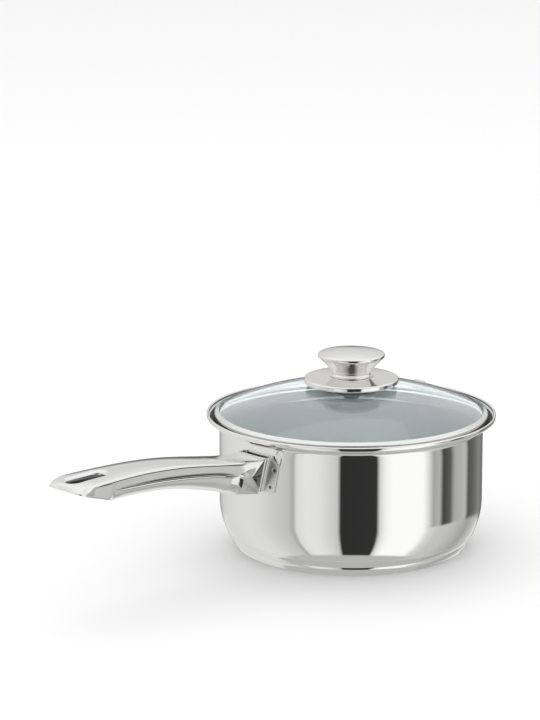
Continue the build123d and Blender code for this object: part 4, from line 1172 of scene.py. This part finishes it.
# ------------------------------
# Studio. A pale floor under a soft white sky, with the dark flags and bright panels that
# polished steel needs around it. They light the object but only its gloss shows them.
floor_half = 16.0
floor_mesh = bpy.data.meshes.new("studio_floor")
corners = [(x * floor_half, y * floor_half, 0) for x, y in ((-1, -1), (1, -1), (1, 1), (-1, 1))]
floor_mesh.from_pydata(corners, [], [(0, 1, 2, 3)])
floor = placed("studio_floor", floor_mesh)
pale, tree, shader = blank_material("studio floor")
shader.inputs["Base Color"].default_value = (0.9, 0.9, 0.9, 1.0)
shader.inputs["Roughness"].default_value = 0.7
floor_mesh.materials.append(pale)
floor.visible_glossy = False

view_azimuth = -45.5
view_elevation = 15.288
toward_camera = view_azimuth - 90.0     # the camera's compass direction, degrees from +X

# grey by direction round the camera (degrees to its right), for three bands of height; the
# low and the level band share what stands in front of the object
front_walls = [
    (-90, 0.80), (-70, 0.68), (-56, 0.60), (-51, 0.44), (-48, 0.80), (-40, 0.88), (-28, 0.86), (-18, 0.74),
    (-11, 0.62), (-8.5, 0.03), (22.5, 0.035), (25.5, 0.75), (30, 1.0), (36, 1.12), (66, 1.12),
]
low_walls = [
    (-180, 0.80), (-140, 0.76), (-110, 0.82), *front_walls, (74, 0.78), (84, 0.64), (100, 0.60), (112, 0.52),
    (130, 0.40), (150, 0.60), (165, 0.85), (180, 0.80),
]
level_walls = [
    (-180, 0.12), (-170, 0.35), (-150, 0.68), (-135, 0.76), (-110, 0.82), *front_walls, (72, 0.80),
    (77, 0.42), (84, 0.50), (88, 0.06), (97, 0.12), (103, 0.45), (112, 0.50), (119, 0.55), (125, 0.10),
    (135, 0.14), (150, 0.25), (180, 0.12),
]
high_walls = [
    (-180, 0.72), (-140, 0.85), (-100, 0.95), (-60, 0.85), (-30, 0.45), (-12, 0.12), (0, 0.08), (16, 0.10),
    (30, 0.4), (50, 0.95), (90, 1.0), (130, 0.85), (180, 0.72),
]
ground = (0.52, 0.52, 0.515, 1.0)
sky = (1.02, 1.02, 1.02, 1.0)

world = bpy.data.worlds.new("studio")
bpy.context.scene.world = world
world.use_nodes = True
tree = world.node_tree
tree.nodes.clear()
direction = tree.nodes.new("ShaderNodeTexCoord").outputs["Generated"]
split = wired(tree, "ShaderNodeSeparateXYZ", Vector=direction)
height = figured(tree, "DEGREES", figured(tree, "ARCSINE", split.outputs[2]))
about_z = {"rotation_type": "Z_AXIS"}
facing = wired(tree, "ShaderNodeVectorRotate", about_z, Vector=direction, Angle=math.radians(-toward_camera))
faced = wired(tree, "ShaderNodeSeparateXYZ", Vector=facing.outputs[0])
turned = figured(tree, "ARCTAN2", faced.outputs[1], faced.outputs[0])
around = figured(tree, "MULTIPLY_ADD", turned, 1 / math.tau, 0.5)


def wall_ramp(stops):
    """Grey of the studio's walls all the way round, blended between stops."""
    ramp = wired(tree, "ShaderNodeValToRGB", Fac=around)
    elements = ramp.color_ramp.elements
    while len(elements) > 1:
        elements.remove(elements[-1])
    for i, (turn, grey) in enumerate(stops):
        stop = elements[0] if i == 0 else elements.new((turn + 180) / 360)
        stop.position = (turn + 180) / 360
        stop.color = (grey, grey * 0.998, grey * 0.99, 1.0)
    return ramp.outputs[0]


def blended(share, low, high):
    """A colour between two, by a share from 0 to 1."""
    return wired(tree, "ShaderNodeMix", {"data_type": "RGBA"}, _0=share, _6=low, _7=high).outputs[2]


def rising(start, stop):
    """0 below one height in degrees and 1 above another."""
    smooth = {"interpolation_type": "SMOOTHSTEP"}
    return wired(tree, "ShaderNodeMapRange", smooth, Value=height, From_Min=start, From_Max=stop).outputs[0]


shade = blended(rising(-58, -54), ground, wall_ramp(low_walls))
shade = blended(rising(-21, -17.5), shade, wall_ramp(level_walls))
shade = blended(rising(0, 10), shade, wall_ramp(high_walls))
shade = blended(rising(20, 45), shade, sky)
rays = tree.nodes.new("ShaderNodeLightPath").outputs
even_light = {
    "Is Diffuse Ray": (1.06, 1.06, 1.06, 1.0),
    "Is Transmission Ray": (1.55, 1.58, 1.58, 1.0),
    "Is Camera Ray": (1.0, 1.0, 1.0, 1.0),
}
for ray, light in even_light.items():
    shade = blended(rays[ray], shade, light)
background = wired(tree, "ShaderNodeBackground", Color=shade, Strength=1.0)
output = tree.nodes.new("ShaderNodeOutputWorld")
tree.links.new(background.outputs[0], output.inputs[0])

lit_point = Vector((0, 0, 0.05))
softboxes = [("overhead softbox", (0.3, 0.5, 1.7), 1.4, 5.0), ("side softbox", (-1.5, -0.6, 1.2), 0.9, 2.0)]
for name, place, size, energy in softboxes:
    lamp = bpy.data.lights.new(name, "AREA")
    lamp.shape = "SQUARE"
    lamp.size = size
    lamp.energy = energy
    softbox = placed(name, lamp)
    softbox.location = place
    softbox.visible_glossy = False
    softbox.rotation_euler = (lit_point - Vector(place)).to_track_quat("-Z", "Y").to_euler()

# the camera looks a little left of the pan and above it, so that the object stands as it should
camera_distance = 1.9
aim_right, aim_up = -0.04975, 0.0676
pan_middle = Vector((0, 0, 0.045))
a, e = math.radians(view_azimuth), math.radians(view_elevation)
back = Vector((math.sin(a) * math.cos(e), -math.cos(a) * math.cos(e), math.sin(e)))
right = Vector((math.cos(a), math.sin(a), 0))
up = back.cross(right)
stand = pan_middle + back * camera_distance
aim = pan_middle + right * aim_right + up * aim_up
lens = bpy.data.cameras.new("studio_camera")
lens.sensor_width = 36.0
lens.sensor_fit = "VERTICAL"
lens.sensor_height = 36.0
lens.lens = 155.6
lens.clip_end = 100.0
camera = placed("studio_camera", lens)
camera.location = stand
camera.rotation_euler = (aim - stand).to_track_quat("-Z", "Y").to_euler()
bpy.context.scene.camera = camera
bpy.context.scene.view_settings.view_transform = "Standard"
